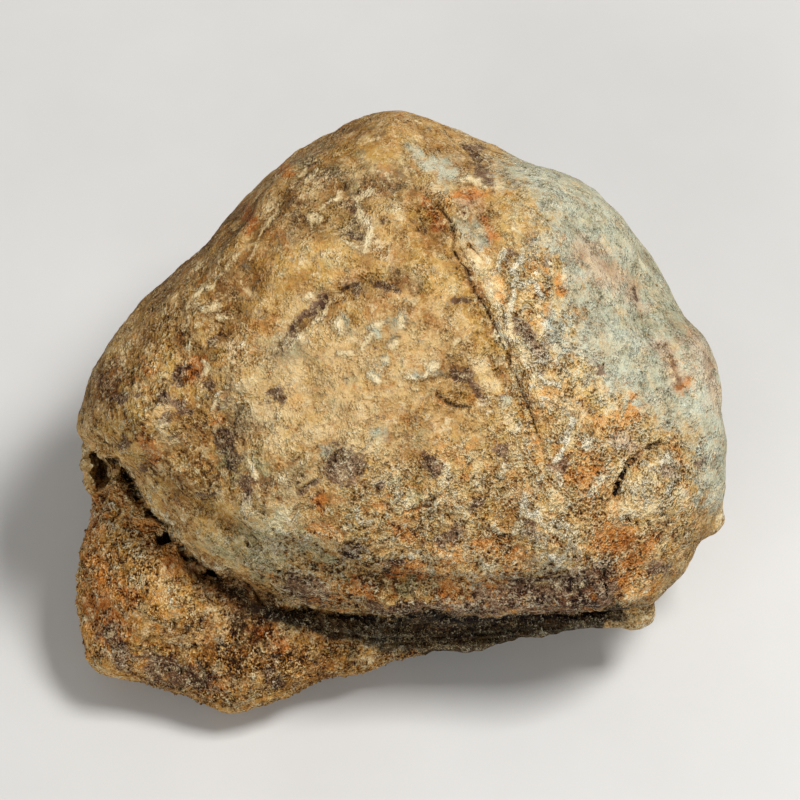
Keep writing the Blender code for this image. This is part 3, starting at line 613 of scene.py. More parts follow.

# %% [markdown]
# ## Patches of painted light and shade, rough and worn ones
#
# These soft patches are partly painted light and shade: they lighten spots that the lamp leaves dim,
# such as the strip under the shield's edge and the downturned band low on the right, and darken the left
# slope, the ledge under the shield and the lump's underside. Elsewhere, as on the dome, they set how pale
# or dim the stone's own colour is. They change how light every stain is, and not which stain it is.
# Patches that overlap add up. A second list says where the skin is worn smooth and where it is left
# rough.

# %% Soft patches, as (across, up, radius, amount), where an amount below 0 is dim or smooth
# Painted light and shade, and the stone's own paler and dimmer stretches
LIGHT_AND_SHADE_PATCHES = [
    (-3.3, 25, 3.5, -0.85), (-10, 21, 4.5, -0.6), (-16, 15.5, 5, -1), (-27.5, 1, 4, -0.7),
    (-11.9, 12.6, 4, -0.4), (-5, 19, 3, -0.3), (4.3, 2.1, 2.6, -0.7), (-16.5, -4.6, 3.5, -0.7),
    (-21.4, -4.6, 3.5, -0.6), (-12.9, -12.2, 3, 0.6), (-12.9, -21.7, 4.5, -0.9), (10.5, 11, 4, 0.9),
    (14.8, 7.8, 2.5, 0.6), (18.6, 2.1, 4, 0.6), (14.8, -4, 3.5, 0.9), (14.8, -13.6, 2.6, 1),
    (19, -8, 3, -0.2), (22.4, -13.1, 2.5, -0.5), (-14, 21.5, 3, 0.3), (16, 3, 3, 0.5),
    (24, -6, 2.5, 0.4), (-2, -15.5, 3, -0.7), (-6, -22, 3.5, -0.7), (-13, -20.5, 3.5, -0.9),
    (14.8, -13.8, 3, 1), (20, 12, 4, -0.4), (-17, 8, 4, -0.4), (0, -17.5, 3, -0.6), (-25, -8, 2, 0.6),
    (-12, -12, 3, 0.6), (14.5, 7.6, 2, 0.5), (26.2, 7.8, 4, -0.5), (6.4, -16.2, 2.2, 0.8),
    (-1.4, 6.9, 3, -0.5), (4.3, 8.8, 3, -0.5), (3.3, -21.2, 3.5, -1), (-17.6, 4, 3.5, 0.2),
    (-28, -19.8, 3.5, 0.1), (16.7, -17.5, 2.4, -1.2), (1.5, 17.3, 3, -0.6), (6.2, 18.3, 3, -0.6),
    (-3.3, 0, 3.5, -0.6), (-22.4, 10, 4, -0.3), (-26, -9, 2.5, 0.6), (-19.5, -25.5, 3, -0.5),
    (23, -8, 4.5, 0.2),
]

GRITS = [
    (-3.3, 25, 3, -0.8), (-13, 19.5, 4.5, -0.2), (-11.9, 12.6, 3.5, -0.6), (-9, 2.5, 4, -0.5),
    (-1, 6.5, 4, -0.4), (-3, 0, 3.5, -0.3), (12, 1, 4.5, -0.4), (18.6, 2.1, 3.5, -0.3),
    (1.4, 17.3, 3, 0.2), (-22.4, 9.7, 4, 0.3), (-26.5, 1.1, 4.5, 0.8), (-18, 3.5, 4, 0.4),
    (-16, -4.6, 4, 0.4), (-21.4, -5, 4, 0.6), (-12.9, -12.2, 4, 0.8), (-5.2, -5.5, 3.5, 0.5),
    (-1, -11.5, 4, 0.3), (18.6, -8.4, 3, 0.3), (14.8, -14.1, 3.5, 0.7), (16.7, -17.4, 4, 0.5),
    (7.1, -16, 4, 0.7), (-4.3, -16.5, 4.5, 0.7), (-25.2, -13, 4, 0.4), (-12.9, -20.5, 4.5, 0.4),
    (-19.5, -25, 4, 0.3), (-26.2, -8.5, 3, 0.5), (24, 6, 4, 0.2),
]
print("patches:", len(LIGHT_AND_SHADE_PATCHES), "of shade,", len(GRITS), "of grit")

# %% [markdown]
# ## Writing the marks on the skin
#
# Every family becomes one number on each vertex: 1 deep inside a stroke, 0 on its edge and -1 well outside.
# The material reads these numbers by name. Small marks belong to the face alone, so they fade out where the
# skin turns away. The back gets its stains from noise, which a number called `hidden` switches on.

# %% Paint the vertices
BROADEST_FADE = 2.6
CHALK_EDGE = 0.2
SHALLOWEST_CRACK = 0.3  # shallower cuts stay as light as the stone round them
WANDER = ((2.1, 0.75), (0.8, 0.35))  # size of the noise and how far it moves a stroke


def wander(seen):
    """The same spots, each moved a little by noise, so that no stroke keeps its round ends."""
    moved = seen.copy()
    for size, reach in WANDER:
        shifts = [noise.noise_vector((x / size, y / size, size)) for x, y in seen]
        moved += reach * np.array([shift[:2] for shift in shifts])
    return moved


def stroke_value(strokes, seen):
    """1 deep inside a stroke, 0 on its edge and -1 well outside."""
    value = np.full(len(seen), -1.0)
    for half_width, *path in strokes:
        fade = min(max(half_width, 0.35), BROADEST_FADE)
        value = np.maximum(value, (half_width - along(path, seen)[0]) / fade)
    return np.clip(value, -1, 1)


# Painted shade in the cuts: a dark line along each cut at least SHALLOWEST_CRACK deep, wider in deeper cuts
def crack_shade_value(seen):
    value = np.full(len(seen), -1.0)
    for half_width, depth, *path in CUTS.values():
        if depth < SHALLOWEST_CRACK:
            continue
        dark = half_width * (0.15 + 0.55 * min(depth, 1))
        distance, _, share = along(path, seen)
        taper = 0.35 + 0.65 * ramp(0, 0.15, share) * ramp(0, 0.15, 1 - share)
        value = np.maximum(value, (dark * taper - distance) / 0.2)
    return np.clip(value, -1, 1)


def chalk_value(seen):
    value = np.full(len(seen), -1.0)
    for half_width, *path in chalk_strokes():
        fade = max(CHALK_EDGE, 0.8 * half_width)
        value = np.maximum(value, (0.85 * half_width - along(path, seen)[0]) / fade)
    return np.clip(value, -1, 1)


def patch_value(patches, seen):
    """The sum of soft round patches, from -1 to 1."""
    value = np.zeros(len(seen))
    for across, up, radius, amount in patches:
        distance = np.hypot(seen[:, 0] - across, seen[:, 1] - up)
        value += amount * np.exp(-((distance / radius) ** 2))
    return np.clip(value, -1, 1)


def set_number(mesh, name, values):
    layer = mesh.attributes.get(name) or mesh.attributes.new(name, "FLOAT", "POINT")
    layer.data.foreach_set("value", values.astype(np.float32))


def paint(mesh):
    seen = as_seen(face_places(mesh))
    moved = wander(seen)
    small = facing(mesh, -0.05, 0.2)
    broad = ramp(-24, -12, face_places(mesh)[:, 2])
    numbers = {name: (stroke_value(strokes, moved), small) for name, strokes in STAINS.items()}
    numbers["chalk"] = (chalk_value(0.6 * seen + 0.4 * moved), small)
    numbers["shade"] = (patch_value(LIGHT_AND_SHADE_PATCHES, seen), broad)
    numbers["grit"] = (patch_value(GRITS, seen), broad)
    numbers["crack"] = (crack_shade_value(seen), small)
    for name, (fade, *outline) in AREAS.items():
        value = np.clip(-outside(outline, moved) / fade, -1, 1)
        if name in STAINS:
            value = np.maximum(value, numbers[name][0])
        numbers[name] = (value, broad)
    for name, (value, front) in numbers.items():
        back = 0 if name in ("shade", "grit") else -1
        set_number(mesh, name, (value - back) * front + back)
    set_number(mesh, "hidden", 1 - small)
    return sorted(numbers)


print("numbers on each vertex:", paint(stone.data))

# %% [markdown]
# ## Lighter crests and darker hollows
#
# Crests are made lighter in colour and hollows darker. Comparing each vertex with the average of its
# neighbours, after many rounds of averaging, tells which is which.

# %% Measure what stands out
STAND_OUT_ROUNDS = {"fine_stand_out": (3, 0.03), "broad_stand_out": (40, 0.16)}


def neighbour_average(values, ends, counts):
    total = np.zeros_like(values)
    np.add.at(total, ends[:, 0], values[ends[:, 1]])
    np.add.at(total, ends[:, 1], values[ends[:, 0]])
    return total / counts[:, None]


def measure_standing_out(mesh):
    ends = np.empty(len(mesh.edges) * 2, np.int32)
    mesh.edges.foreach_get("vertices", ends)
    ends = ends.reshape(-1, 2)
    counts = np.bincount(ends.ravel(), minlength=len(mesh.vertices))
    places = read(mesh, "co")
    normals = read(mesh, "normal")
    for name, (rounds, reach) in STAND_OUT_ROUNDS.items():
        smooth = places.copy()
        for _ in range(rounds):
            smooth = 0.5 * smooth + 0.5 * neighbour_average(smooth, ends, counts)
        stands_out = ((places - smooth) * normals).sum(axis=1)
        set_number(mesh, name, np.clip(stands_out / reach, -1, 1))
        print(name, "mean height", round(float(np.abs(stands_out).mean()), 4))


measure_standing_out(stone.data)

# %% [markdown]
# ## Nodes written as sums
#
# Both the relief and the stone's colours come from node trees. A small class wraps a socket, so that a sum
# written in Python adds the Math nodes for it, and one method adds any other node: its type, then its
# settings, then the values or links of its sockets. The same two classes serve geometry and materials.

# %% Helpers for node trees
def find(sockets, key):
    if isinstance(key, int):
        return sockets[key]
    for socket in sockets:
        if socket.identifier == key or (socket.name == key and socket.enabled):
            return socket
    raise KeyError(key)


def sums(operation):
    """An operator and its reflected form, which serves 1 - number."""
    return (
        lambda number, other: number.math(operation, number, other),
        lambda number, other: number.math(operation, other, number),
    )


class Number:
    """A socket that can stand in a sum."""

    def __init__(self, nodes, socket):
        self.nodes = nodes
        self.socket = socket

    def math(self, operation, *values):
        return self.nodes.add("ShaderNodeMath", {"operation": operation}, dict(enumerate(values)))

    __add__, __radd__ = sums("ADD")
    __sub__, __rsub__ = sums("SUBTRACT")
    __mul__, __rmul__ = sums("MULTIPLY")
    __truediv__, __rtruediv__ = sums("DIVIDE")

    def larger(self, other):
        return self.math("MAXIMUM", self, other)

    def step(self, low, high):
        """0 below low, 1 above high and smooth between them."""
        edges = {"Value": self, "From Min": low, "From Max": high}
        return self.nodes.add("ShaderNodeMapRange", {"interpolation_type": "SMOOTHSTEP"}, edges)

    def other(self, output):
        return Number(self.nodes, find(self.socket.node.outputs, output))


class Nodes:
    def __init__(self, tree):
        self.tree = tree

    def add(self, kind, settings=(), inputs=(), output=0):
        node = self.tree.nodes.new(kind)
        for name, value in dict(settings).items():
            if name == "stops":
                set_stops(node.color_ramp, value)
            else:
                setattr(node, name, value)
        for name, value in dict(inputs).items():
            if isinstance(value, Number):
                self.tree.links.new(value.socket, find(node.inputs, name))
            else:
                find(node.inputs, name).default_value = value
        return Number(self, find(node.outputs, output))

    def vector(self, operation, *values, **inputs):
        inputs.update(enumerate(values))
        return self.add("ShaderNodeVectorMath", {"operation": operation}, inputs)

    def cloud(self, places, size, detail, roughness, shift=0.0, swirl=0.0, output="Fac", kind="FBM"):
        """Noise whose lumps are about one size across; shift picks another stretch of it."""
        moved = self.vector("MULTIPLY_ADD", places, (1 / size,) * 3, (shift, -shift, 2 * shift))
        inputs = {"Vector": moved, "Scale": 1.0, "Detail": detail, "Roughness": roughness}
        inputs["Distortion"] = swirl
        return self.add("ShaderNodeTexNoise", {"noise_type": kind}, inputs, output)

    def three(self, colour):
        """A colour's three channels, as three numbers."""
        return [self.add("ShaderNodeSeparateColor", {}, {0: colour}, channel) for channel in range(3)]


def set_stops(color_ramp, stops):
    while len(color_ramp.elements) > 1:
        color_ramp.elements.remove(color_ramp.elements[-1])
    for index, (position, colour) in enumerate(stops):
        element = color_ramp.elements[0] if index == 0 else color_ramp.elements.new(position)
        element.position = position
        element.color = colour


# %% [markdown]
# ## Relief
#
# Weathered stone isn't smooth at any size: it swells, has knobs and pits, and its matrix is granular. The
# rule is the same everywhere, only stronger in one place than in another, so Geometry Nodes make it: a Set
# Position node moves every vertex along its normal by a sum of noises, each with a named size and height.
# The numbers on the vertices say where the stone is coarse. The ledge gets fine layers instead, as slate
# has. Close to the table the relief fades out, so that the stone still rests flat.

# %% Build the relief tree
RELIEF = {
    "Swell Size": 4.2, "Swell Height": 0.7, "Knob Size": 1.5, "Knob Height": 0.55,
    "Grain Size": 0.75, "Grain Height": 0.22, "Pit Size": 1.3, "Pit Depth": 0.3,
    "Layer Thickness": 0.62, "Layer Height": 0.1,
}


def start_tree(name, numbers):
    """A geometry tree with a geometry input and output and one named input for each number."""
    tree = bpy.data.node_groups.new(name, "GeometryNodeTree")
    tree.interface.new_socket("Geometry", in_out="INPUT", socket_type="NodeSocketGeometry")
    tree.interface.new_socket("Geometry", in_out="OUTPUT", socket_type="NodeSocketGeometry")
    for label, value in numbers.items():
        socket = tree.interface.new_socket(label, in_out="INPUT", socket_type="NodeSocketFloat")
        socket.default_value = value
    nodes = Nodes(tree)
    given = nodes.add("NodeGroupInput")
    return nodes, given, {label: given.other(label) for label in numbers}


def end_tree(nodes, geometry):
    result = nodes.tree.nodes.new("NodeGroupOutput")
    nodes.tree.links.new(geometry.socket, result.inputs[0])
    return nodes.tree


def apply_tree(thing, tree, numbers):
    """Runs a tree on a thing, with its inputs set by identifier, and keeps the mesh that it makes."""
    modifier = thing.modifiers.new(tree.name, "NODES")
    modifier.node_group = tree
    for item in tree.interface.items_tree:
        if item.in_out == "INPUT" and item.name in numbers:
            modifier[item.identifier] = numbers[item.name]
    bake(thing)


def named(nodes, name):
    return nodes.add("GeometryNodeInputNamedAttribute", {"data_type": "FLOAT"}, {"Name": name}, "Attribute")


def relief_tree():
    nodes, given, size = start_tree("stone_relief", RELIEF)
    place = nodes.add("GeometryNodeInputPosition")
    matrix, ledge = named(nodes, "matrix").step(-0.5, 0.5), named(nodes, "ledge").step(-0.5, 0.5)
    clay = named(nodes, "green").step(-0.5, 0.8)
    gritty = named(nodes, "gritty").step(-1.0, 1.0)
    coarse = 0.46 + 0.55 * matrix + 0.3 * gritty - 0.2 * clay + 0.3 * named(nodes, "grit")

    def lumps(label, detail, shift, roughness=0.55):
        scaled = nodes.vector("SCALE", place, Scale=1 / size[label + " Size"])
        return nodes.cloud(scaled, 1.0, detail, roughness, shift) - 0.5

    swell = lumps("Swell", 2.0, 3.1) * size["Swell Height"] * (0.5 + 0.5 * coarse)
    knobs = lumps("Knob", 2.0, 7.7) * size["Knob Height"] * coarse
    grains = lumps("Grain", 1.5, 1.3) * size["Grain Height"] * coarse * 2.0
    pit_noise = lumps("Pit", 2.0, 5.9)
    pits = 1 - pit_noise.math("ABSOLUTE", pit_noise).step(0.0, 0.05)
    pits = pits * size["Pit Depth"] * coarse * lumps("Swell", 1.0, 9.0).step(0.0, 0.12)
    height_up = nodes.vector("DOT_PRODUCT", place, UP_THE_FACE).other("Value")
    phase = (height_up + lumps("Swell", 2.0, 12.5) * 2.2) * math.tau / size["Layer Thickness"]
    layers = phase.math("SINE", phase) * size["Layer Height"] * ledge
    above = nodes.add("ShaderNodeSeparateXYZ", {}, {0: place}, "Z").step(0.1, 1.2)
    height = (swell + knobs + grains - pits + layers) * above
    normal = nodes.add("GeometryNodeInputNormal")
    offset = nodes.vector("SCALE", normal, Scale=height)
    return end_tree(nodes, nodes.add("GeometryNodeSetPosition", {}, {"Geometry": given, "Offset": offset}))


apply_tree(stone, relief_tree(), RELIEF)
print("skin triangles after relief:", triangles(stone.data))

# %% [markdown]
# ## The stone's colours
#
# Each stain is not one colour but a mixture of grains, from dark grains to pale crystal. So each has a ramp
# of colours, and all ramps are read at the same `tone`, a sum of noises from a broad cloud down to single
# grains. The finest of them share the bump's noise, which makes painted shade in its hollows and a painted
# highlight on its crests. Mixing the ramps, and not flat colours, keeps the grain running through every
# stain, as it does in real stone.

# %% Colour ramps, from dark to pale, as (place on the ramp, red, green, blue) from 0 to 255
RAMPS = {
    "ochre": (
        (0, 82, 50, 20), (0.28, 138, 97, 46), (0.5, 178, 136, 78), (0.72, 204, 167, 107),
        (1, 234, 211, 160),
    ),
    # Partly painted shade for the left side
    "slope": (
        (0, 58, 35, 13), (0.3, 112, 78, 36), (0.52, 154, 112, 55), (0.75, 186, 146, 82),
        (1, 222, 196, 140),
    ),
    "cream": (
        (0, 128, 90, 46), (0.25, 188, 150, 94), (0.5, 214, 184, 130), (0.75, 230, 209, 162),
        (1, 244, 232, 200),
    ),
    "yellow": (
        (0, 106, 68, 22), (0.28, 158, 115, 48), (0.5, 189, 149, 77), (0.75, 208, 173, 102),
        (1, 230, 205, 146),
    ),
    "green": (
        (0, 104, 100, 70), (0.25, 154, 156, 130), (0.5, 184, 190, 168), (0.75, 198, 205, 187),
        (1, 216, 224, 210),
    ),
    "low_green": (
        (0, 84, 72, 38), (0.3, 142, 134, 92), (0.55, 172, 168, 128), (1, 204, 204, 170),
    ),
    "rust": (
        (0, 84, 34, 6), (0.28, 150, 80, 24), (0.5, 188, 114, 48), (0.72, 212, 150, 78),
        (1, 236, 198, 132),
    ),
    "dark": (
        (0, 20, 9, 7), (0.3, 58, 37, 29), (0.52, 94, 68, 54), (0.75, 142, 110, 86), (1, 196, 168, 134),
    ),
    "grey": (
        (0, 60, 46, 26), (0.3, 114, 96, 62), (0.55, 150, 131, 92), (0.78, 176, 158, 116),
        (1, 206, 190, 150),
    ),
    "pink": (
        (0, 112, 72, 46), (0.28, 172, 132, 102), (0.55, 202, 172, 140), (1, 222, 204, 178),
    ),
    "grime": (
        (0, 50, 36, 22), (0.3, 92, 74, 50), (0.5, 124, 103, 74), (0.75, 152, 132, 98),
        (1, 194, 174, 136),
    ),
    "brown": (
        (0, 36, 16, 5), (0.35, 92, 53, 22), (0.6, 138, 90, 45), (1, 182, 134, 80),
    ),
    "matrix": (
        (0, 44, 20, 5), (0.28, 112, 66, 22), (0.52, 170, 115, 48), (0.75, 206, 157, 82),
        (1, 236, 202, 136),
    ),
    "chalk": (
        (0, 140, 108, 64), (0.35, 204, 178, 130), (0.7, 228, 210, 168), (1, 242, 232, 204),
    ),
    # The ledge's dark layers, with painted shadow from the shield's edge over them
    "layers": (
        (0, 4, 3, 2), (0.45, 14, 10, 7), (0.72, 34, 27, 20), (0.92, 68, 58, 44), (1, 140, 124, 96),
    ),
    # Near-black, for the painted shade in cuts and round chalk ridges, and for the dark threads
    "deep": (
        (0, 8, 4, 2), (0.6, 24, 13, 7), (1, 50, 32, 19),
    ),
}
print("ramps:", *RAMPS)

# %% [markdown]
# ## Where each stain shows
#
# The painted numbers fade evenly from 1 to -1. Adding noise before cutting them off at 0 turns that even
# fade into a ragged shore with islands. Each family is given its own stretch of noise and its own strength.
# On the hidden side there are no strokes, so the same families come up where a broad noise is high. A
# later family covers an earlier one.

# %% How each family frays, as (noise channel, fray, softness, strength, how common it is on the back)
FRAYS = {
    "slope": (0, 0.8, 0.6, 0.8, 0.45),
    "cream": (1, 1.1, 0.35, 0.85, 0.35),
    "yellow": (2, 1.2, 0.35, 0.8, 0.3),
    "grey": (3, 1.1, 0.5, 0.7, 0.3),
    "grime": (0, 1.1, 0.9, 0.8, 0.25),
    "green": (4, 1.1, 0.5, 0.9, 0.25),
    "rusty": (5, 1.3, 0.7, 0.3, 0.2),
    "low_green": (0, 1.3, 0.4, 0.75, 0.15),
    "matrix": (1, 0.4, 0.3, 1.0, 0.0),
    "pink": (2, 1.3, 0.5, 0.65, 0.1),
    "foot": (4, 1.6, 0.4, 0.75, 0.1),
    "rust": (3, 1.4, 0.35, 0.85, 0.25),
    "dark": (5, 1.4, 0.25, 0.85, 0.2),
    "brown": (0, 0.9, 0.3, 0.8, 0.1),
    "chalk": (2, 1.9, 0.4, 0.9, 0.0),
    "ledge": (1, 0.4, 0.4, 0.86, 0.0),
    # The painted shade in the cuts
    "crack": (3, 0.3, 0.4, 1.0, 0.0),
}
RAMP_OF = {"rusty": "rust", "foot": "dark", "ledge": "layers", "crack": "deep"}
print("stains, from the lowest to the topmost:", *FRAYS)

# %% [markdown]
# ## Noises that the finish shares
#
# Coloured noise gives three numbers for the price of one, so two such clouds serve six families. Other
# noises stand for grain of several sizes, and the painted numbers say where it is strong: calm and smooth
# on the worn dome, lively on the gritty parts.

# %% Gather the shared numbers
CRAGGY = "HYBRID_MULTIFRACTAL"
# Pairs of coloured clouds, each as (size, detail, roughness, shift, swirl)
SHORES = ((1.7, 5.0, 0.76, 20.0, 0.3), (1.3, 5.0, 0.78, 30.0, 0.3))
LANDS = ((11.0, 3.0, 0.6, 40.0, 0.0), (8.0, 3.0, 0.6, 50.0, 0.0))
SPOTS = ((2.0, 5.0, 0.72, 60.0, 0.4), (1.6, 5.0, 0.72, 70.0, 0.4))


def screen_colour(*channels):
    """A colour from a screen, 0 to 255, as the light that the renderer mixes."""
    light = [(c / 255 / 12.92 if c <= 10 else ((c / 255 + 0.055) / 1.055) ** 2.4) for c in channels]
    return (*light, 1.0)


def centred(number, gain):
    return (number - 0.5) * gain


def painted(nodes, name):
    return nodes.add("ShaderNodeAttribute", {"attribute_name": name}, {}, "Fac")


def six_numbers(skin, clouds):
    return [channel for cloud in clouds for channel in skin.nodes.three(skin.cloud(*cloud, "Color"))]


def shared_numbers(nodes):
    """What the stone's colours, bump and roughness all read, as one namespace."""
    place = nodes.vector("SCALE", nodes.add("ShaderNodeTexCoord", {}, {}, "Object"), Scale=MILLIMETRES)
    skin = SimpleNamespace(nodes=nodes, place=place, cloud=partial(nodes.cloud, place))
    skin.broad = skin.cloud(7.0, 3.0, 0.55, 2.0)
    skin.middle = skin.cloud(1.8, 3.0, 0.6, 5.0)
    skin.fine = skin.cloud(0.5, 3.0, 0.7, 8.0, 1.5)
    upright = nodes.vector("MULTIPLY", place, (1.2, 1.0, 1.0))
    crag = nodes.cloud(upright, 0.55, 4.0, 0.8, 14.0, 0.3, kind=CRAGGY)
    skin.chip = nodes.cloud(upright, 0.21, 3.0, 0.8, 17.0, 0.3, kind=CRAGGY)
    flake = skin.cloud(1.0, 4.0, 0.68, 33.0, 0.6)
    skin.restless = restless = painted(nodes, "gritty").step(-1.0, 1.0)
    granular = painted(nodes, "matrix").step(-1.0, 1.0)
    grit = painted(nodes, "grit")
    rough = grit.larger(0.0)
    lively = 0.45 + 1.15 * skin.cloud(1.7, 3.0, 0.65, 11.0, 0.5).step(0.42, 0.6)
    skin.gritty = (0.62 + 0.45 * restless + 0.35 * granular + 0.55 * grit) * lively
    skin.calmness = 1.7 - 0.8 * restless - 0.4 * rough
    skin.relief = crag * (0.35 + 0.35 * restless + 0.3 * granular + 0.45 * rough)
    skin.relief = skin.relief + skin.chip * (0.5 + 0.2 * restless)
    skin.flakes = (flake.step(0.525, 0.55) - 0.8 * flake.step(0.44, 0.415)) * skin.gritty
    # The grain shares crag and chip with the bump: painted shade in the bump's hollows, painted highlight
    # on its crests
    grain = centred(skin.fine, 0.9) + skin.chip * (0.4 + 0.12 * restless + 0.16 * granular)
    skin.grain = (grain + crag * (0.2 + 0.4 * rough)) * skin.gritty
    return skin


def stone_tone(skin):
    """How far along its ramp each spot is, from dark at 0 to pale at 1, with painted shade and highlight in
    its grain.
    """
    clouds = centred(skin.broad, 0.55) + centred(skin.middle, 0.5)
    # Lighter where the skin stands out, darker where it lies low
    stand_out_tone = 0.12 * painted(skin.nodes, "fine_stand_out") + 0.1 * painted(skin.nodes, "broad_stand_out")
    # The patches' painted light and shade, and a lift where the stone is gritty
    shade = 0.12 * skin.restless + 0.24 * painted(skin.nodes, "shade")
    return 0.475 + clouds + skin.grain + 0.05 * skin.flakes + shade + stand_out_tone


def ledge_tone(skin):
    """The same for the ledge, whose noise is stretched along its thin layers."""
    up = skin.nodes.vector("DOT_PRODUCT", skin.place, UP_THE_FACE).other("Value")
    across = skin.nodes.add("ShaderNodeSeparateXYZ", {}, {0: skin.place}, "X")
    sheets = {"X": across * 0.2, "Y": up + centred(skin.broad, 1.0)}
    layered = skin.nodes.cloud(skin.nodes.add("ShaderNodeCombineXYZ", {}, sheets), 0.42, 3.0, 0.75, 90.0)
    return 0.42 + centred(layered, 2.6) + 0.35 * skin.grain


# %% [markdown]
# ## Masks, spots and threads
#
# A mask is the share of a stain at each spot. Besides the painted stains there are mottles, which are
# spots a millimetre or two across with crisp edges, and threads, which are thin winding lines where a
# noise passes through one value. All of them keep clear of the calm dome more than of the gritty parts.

# %% Work out the masks
# Spots, as (noise channel, ramp, threshold, strength where the stone is calm, gritty and green)
MOTTLES = (
    (0, "yellow", 0.53, 0.4, 0.48, 0.12),
    (2, "rust", 0.56, 0.26, 0.56, 0.06),
    (1, "cream", 0.55, 0.35, 0.6, 0.12),
    (3, "dark", 0.62, 0.35, 0.6, 0.06),
    (4, "grey", 0.59, 0.3, 0.25, 0.2),
    (5, "low_green", 0.6, 0.35, 0.3, 0.35),
)
MOTTLE_EDGE = 0.02


def stain_masks(skin):
    channels, patches = six_numbers(skin, SHORES), six_numbers(skin, LANDS)
    hidden = painted(skin.nodes, "hidden")
    masks = {}
    for name, (channel, fray, softness, strength, common) in FRAYS.items():
        value = painted(skin.nodes, name)
        if common:
            value = value + hidden * (1.0 + centred(patches[channel], 9.0) - (1 - common) * 2.2)
        shore = value + centred(channels[channel], 4.5 * fray) + 0.3 * fray * skin.relief
        masks[name] = (shore / skin.calmness).step(-softness, softness) * strength
    return masks


def mottle_masks(skin, spots, green):
    for channel, kind, threshold, calm, wild, fresh in MOTTLES:
        strength = calm + (wild - calm) * skin.restless + (fresh - calm) * green
        spot = (spots[channel] - threshold + 0.03 * skin.relief) / skin.calmness
        yield kind, spot.step(-MOTTLE_EDGE, MOTTLE_EDGE) * strength


def thread(number, middle, width):
    """A thin winding line, where a noise passes its middle value."""
    away = number.math("ABSOLUTE", number - middle)
    return 1 - away.step(0.0, width)


def thread_masks(skin, spots, green):
    winding = skin.nodes.three(skin.cloud(1.3, 4.0, 0.62, 23.0, 0.8, "Color"))
    pale = thread(spots[1], 0.55, 0.012).larger(thread(spots[0], 0.54, 0.01))
    pale = pale.larger(thread(winding[0], 0.5, 0.018)) * winding[2].step(0.47, 0.55) * (1 - 0.6 * green)
    dark = thread(winding[1], 0.5, 0.018).larger(thread(spots[2], 0.57, 0.012))
    return pale, dark * winding[2].step(0.5, 0.42) * (0.4 + 0.5 * skin.restless)


# %% [markdown]
# ## Painting in order
#
# The colour starts as plain ochre, and each mask mixes its ramp over what is there. The pits and crests of
# the finest grain come last, over every stain: painted shade darkens the low spots of the bump's relief,
# and a painted highlight lightens its high spots. A little bump adds the grain that is too fine for the
# mesh.

# %% Build the finish
BUMP_HEIGHT = 0.001  # a millimetre where the height is 1


def stone_colour(skin):
    nodes, tone, layer_tone = skin.nodes, stone_tone(skin), ledge_tone(skin)
    ramps = {}
    for name, rows in RAMPS.items():
        stops = [(position, screen_colour(*channels)) for position, *channels in rows]
        read_at = layer_tone if name == "layers" else tone
        ramps[name] = nodes.add("ShaderNodeValToRGB", {"stops": stops}, {"Fac": read_at}, "Color")
    masks = stain_masks(skin)
    spots = six_numbers(skin, SPOTS)
    pale_threads, dark_threads = thread_masks(skin, spots, masks["green"])
    coats = []
    for name, mask in masks.items():
        if name == "pink":
            coats += mottle_masks(skin, spots, masks["green"])
        if name == "chalk":
            # Painted shadow: a thin dark ring round each raised chalk ridge
            coats.append(("deep", painted(nodes, "chalk").step(-0.97, -0.4) * 0.26))
        coats.append((RAMP_OF.get(name, name), mask))
    coats += [("chalk", pale_threads * 0.7), ("deep", dark_threads * 0.7)]
    # Painted shade in the relief's low spots, and a painted highlight on its high spots
    coats.append(("brown", (1 - skin.relief.step(-0.55, -0.3)) * skin.gritty * 0.3))
    coats.append(("cream", skin.relief.step(0.28, 0.5) * skin.gritty * 0.3))
    colour = ramps["ochre"]
    for kind, amount in coats:
        mix = {"Factor": amount, "A_Color": colour, "B_Color": ramps[kind]}
        colour = nodes.add("ShaderNodeMix", {"data_type": "RGBA"}, mix, "Result_Color")
    return colour, masks


def stone_finish():
    material = bpy.data.materials.new("iron_stained_stone")
    material.use_nodes = True
    material.node_tree.nodes.clear()
    nodes = Nodes(material.node_tree)
    skin = shared_numbers(nodes)
    colour, masks = stone_colour(skin)
    grain = (skin.relief - 0.22 * skin.chip) * skin.gritty * 0.65 + 0.09 * skin.flakes
    height = centred(skin.middle, 0.3) + grain
    bump = nodes.add("ShaderNodeBump", {}, {"Strength": 1.0, "Distance": BUMP_HEIGHT, "Height": height})
    roughness = 0.78 + centred(skin.fine, 0.3) - 0.08 * masks["green"] + 0.06 * masks["matrix"]
    looks = {"Base Color": colour, "Roughness": roughness, "Normal": bump, "Specular IOR Level": 0.12}
    shader = nodes.add("ShaderNodeBsdfPrincipled", {}, looks)
    output = nodes.tree.nodes.new("ShaderNodeOutputMaterial")
    nodes.tree.links.new(shader.socket, output.inputs["Surface"])
    return material


stone_material = stone_finish()
print("nodes in the stone's finish:", len(stone_material.node_tree.nodes))

# %% [markdown]
# ## Crumbs of matrix
#
# The lump under the shield is gritty: small crumbs stick to it and to the strip beside the gap. They are
# scattered by Geometry Nodes, because no one wants to place hundreds of crumbs by hand. Points are spread
# where the stone is matrix, each gets a low ball of a few faces with its own size and turn, and noise dents
# the balls, so that no two are alike.

# %% Scatter the crumbs
CRUMBS = {"Crumbs per Area": 1.1, "Smallest": 0.08, "Largest": 0.22, "Dents": 0.16}


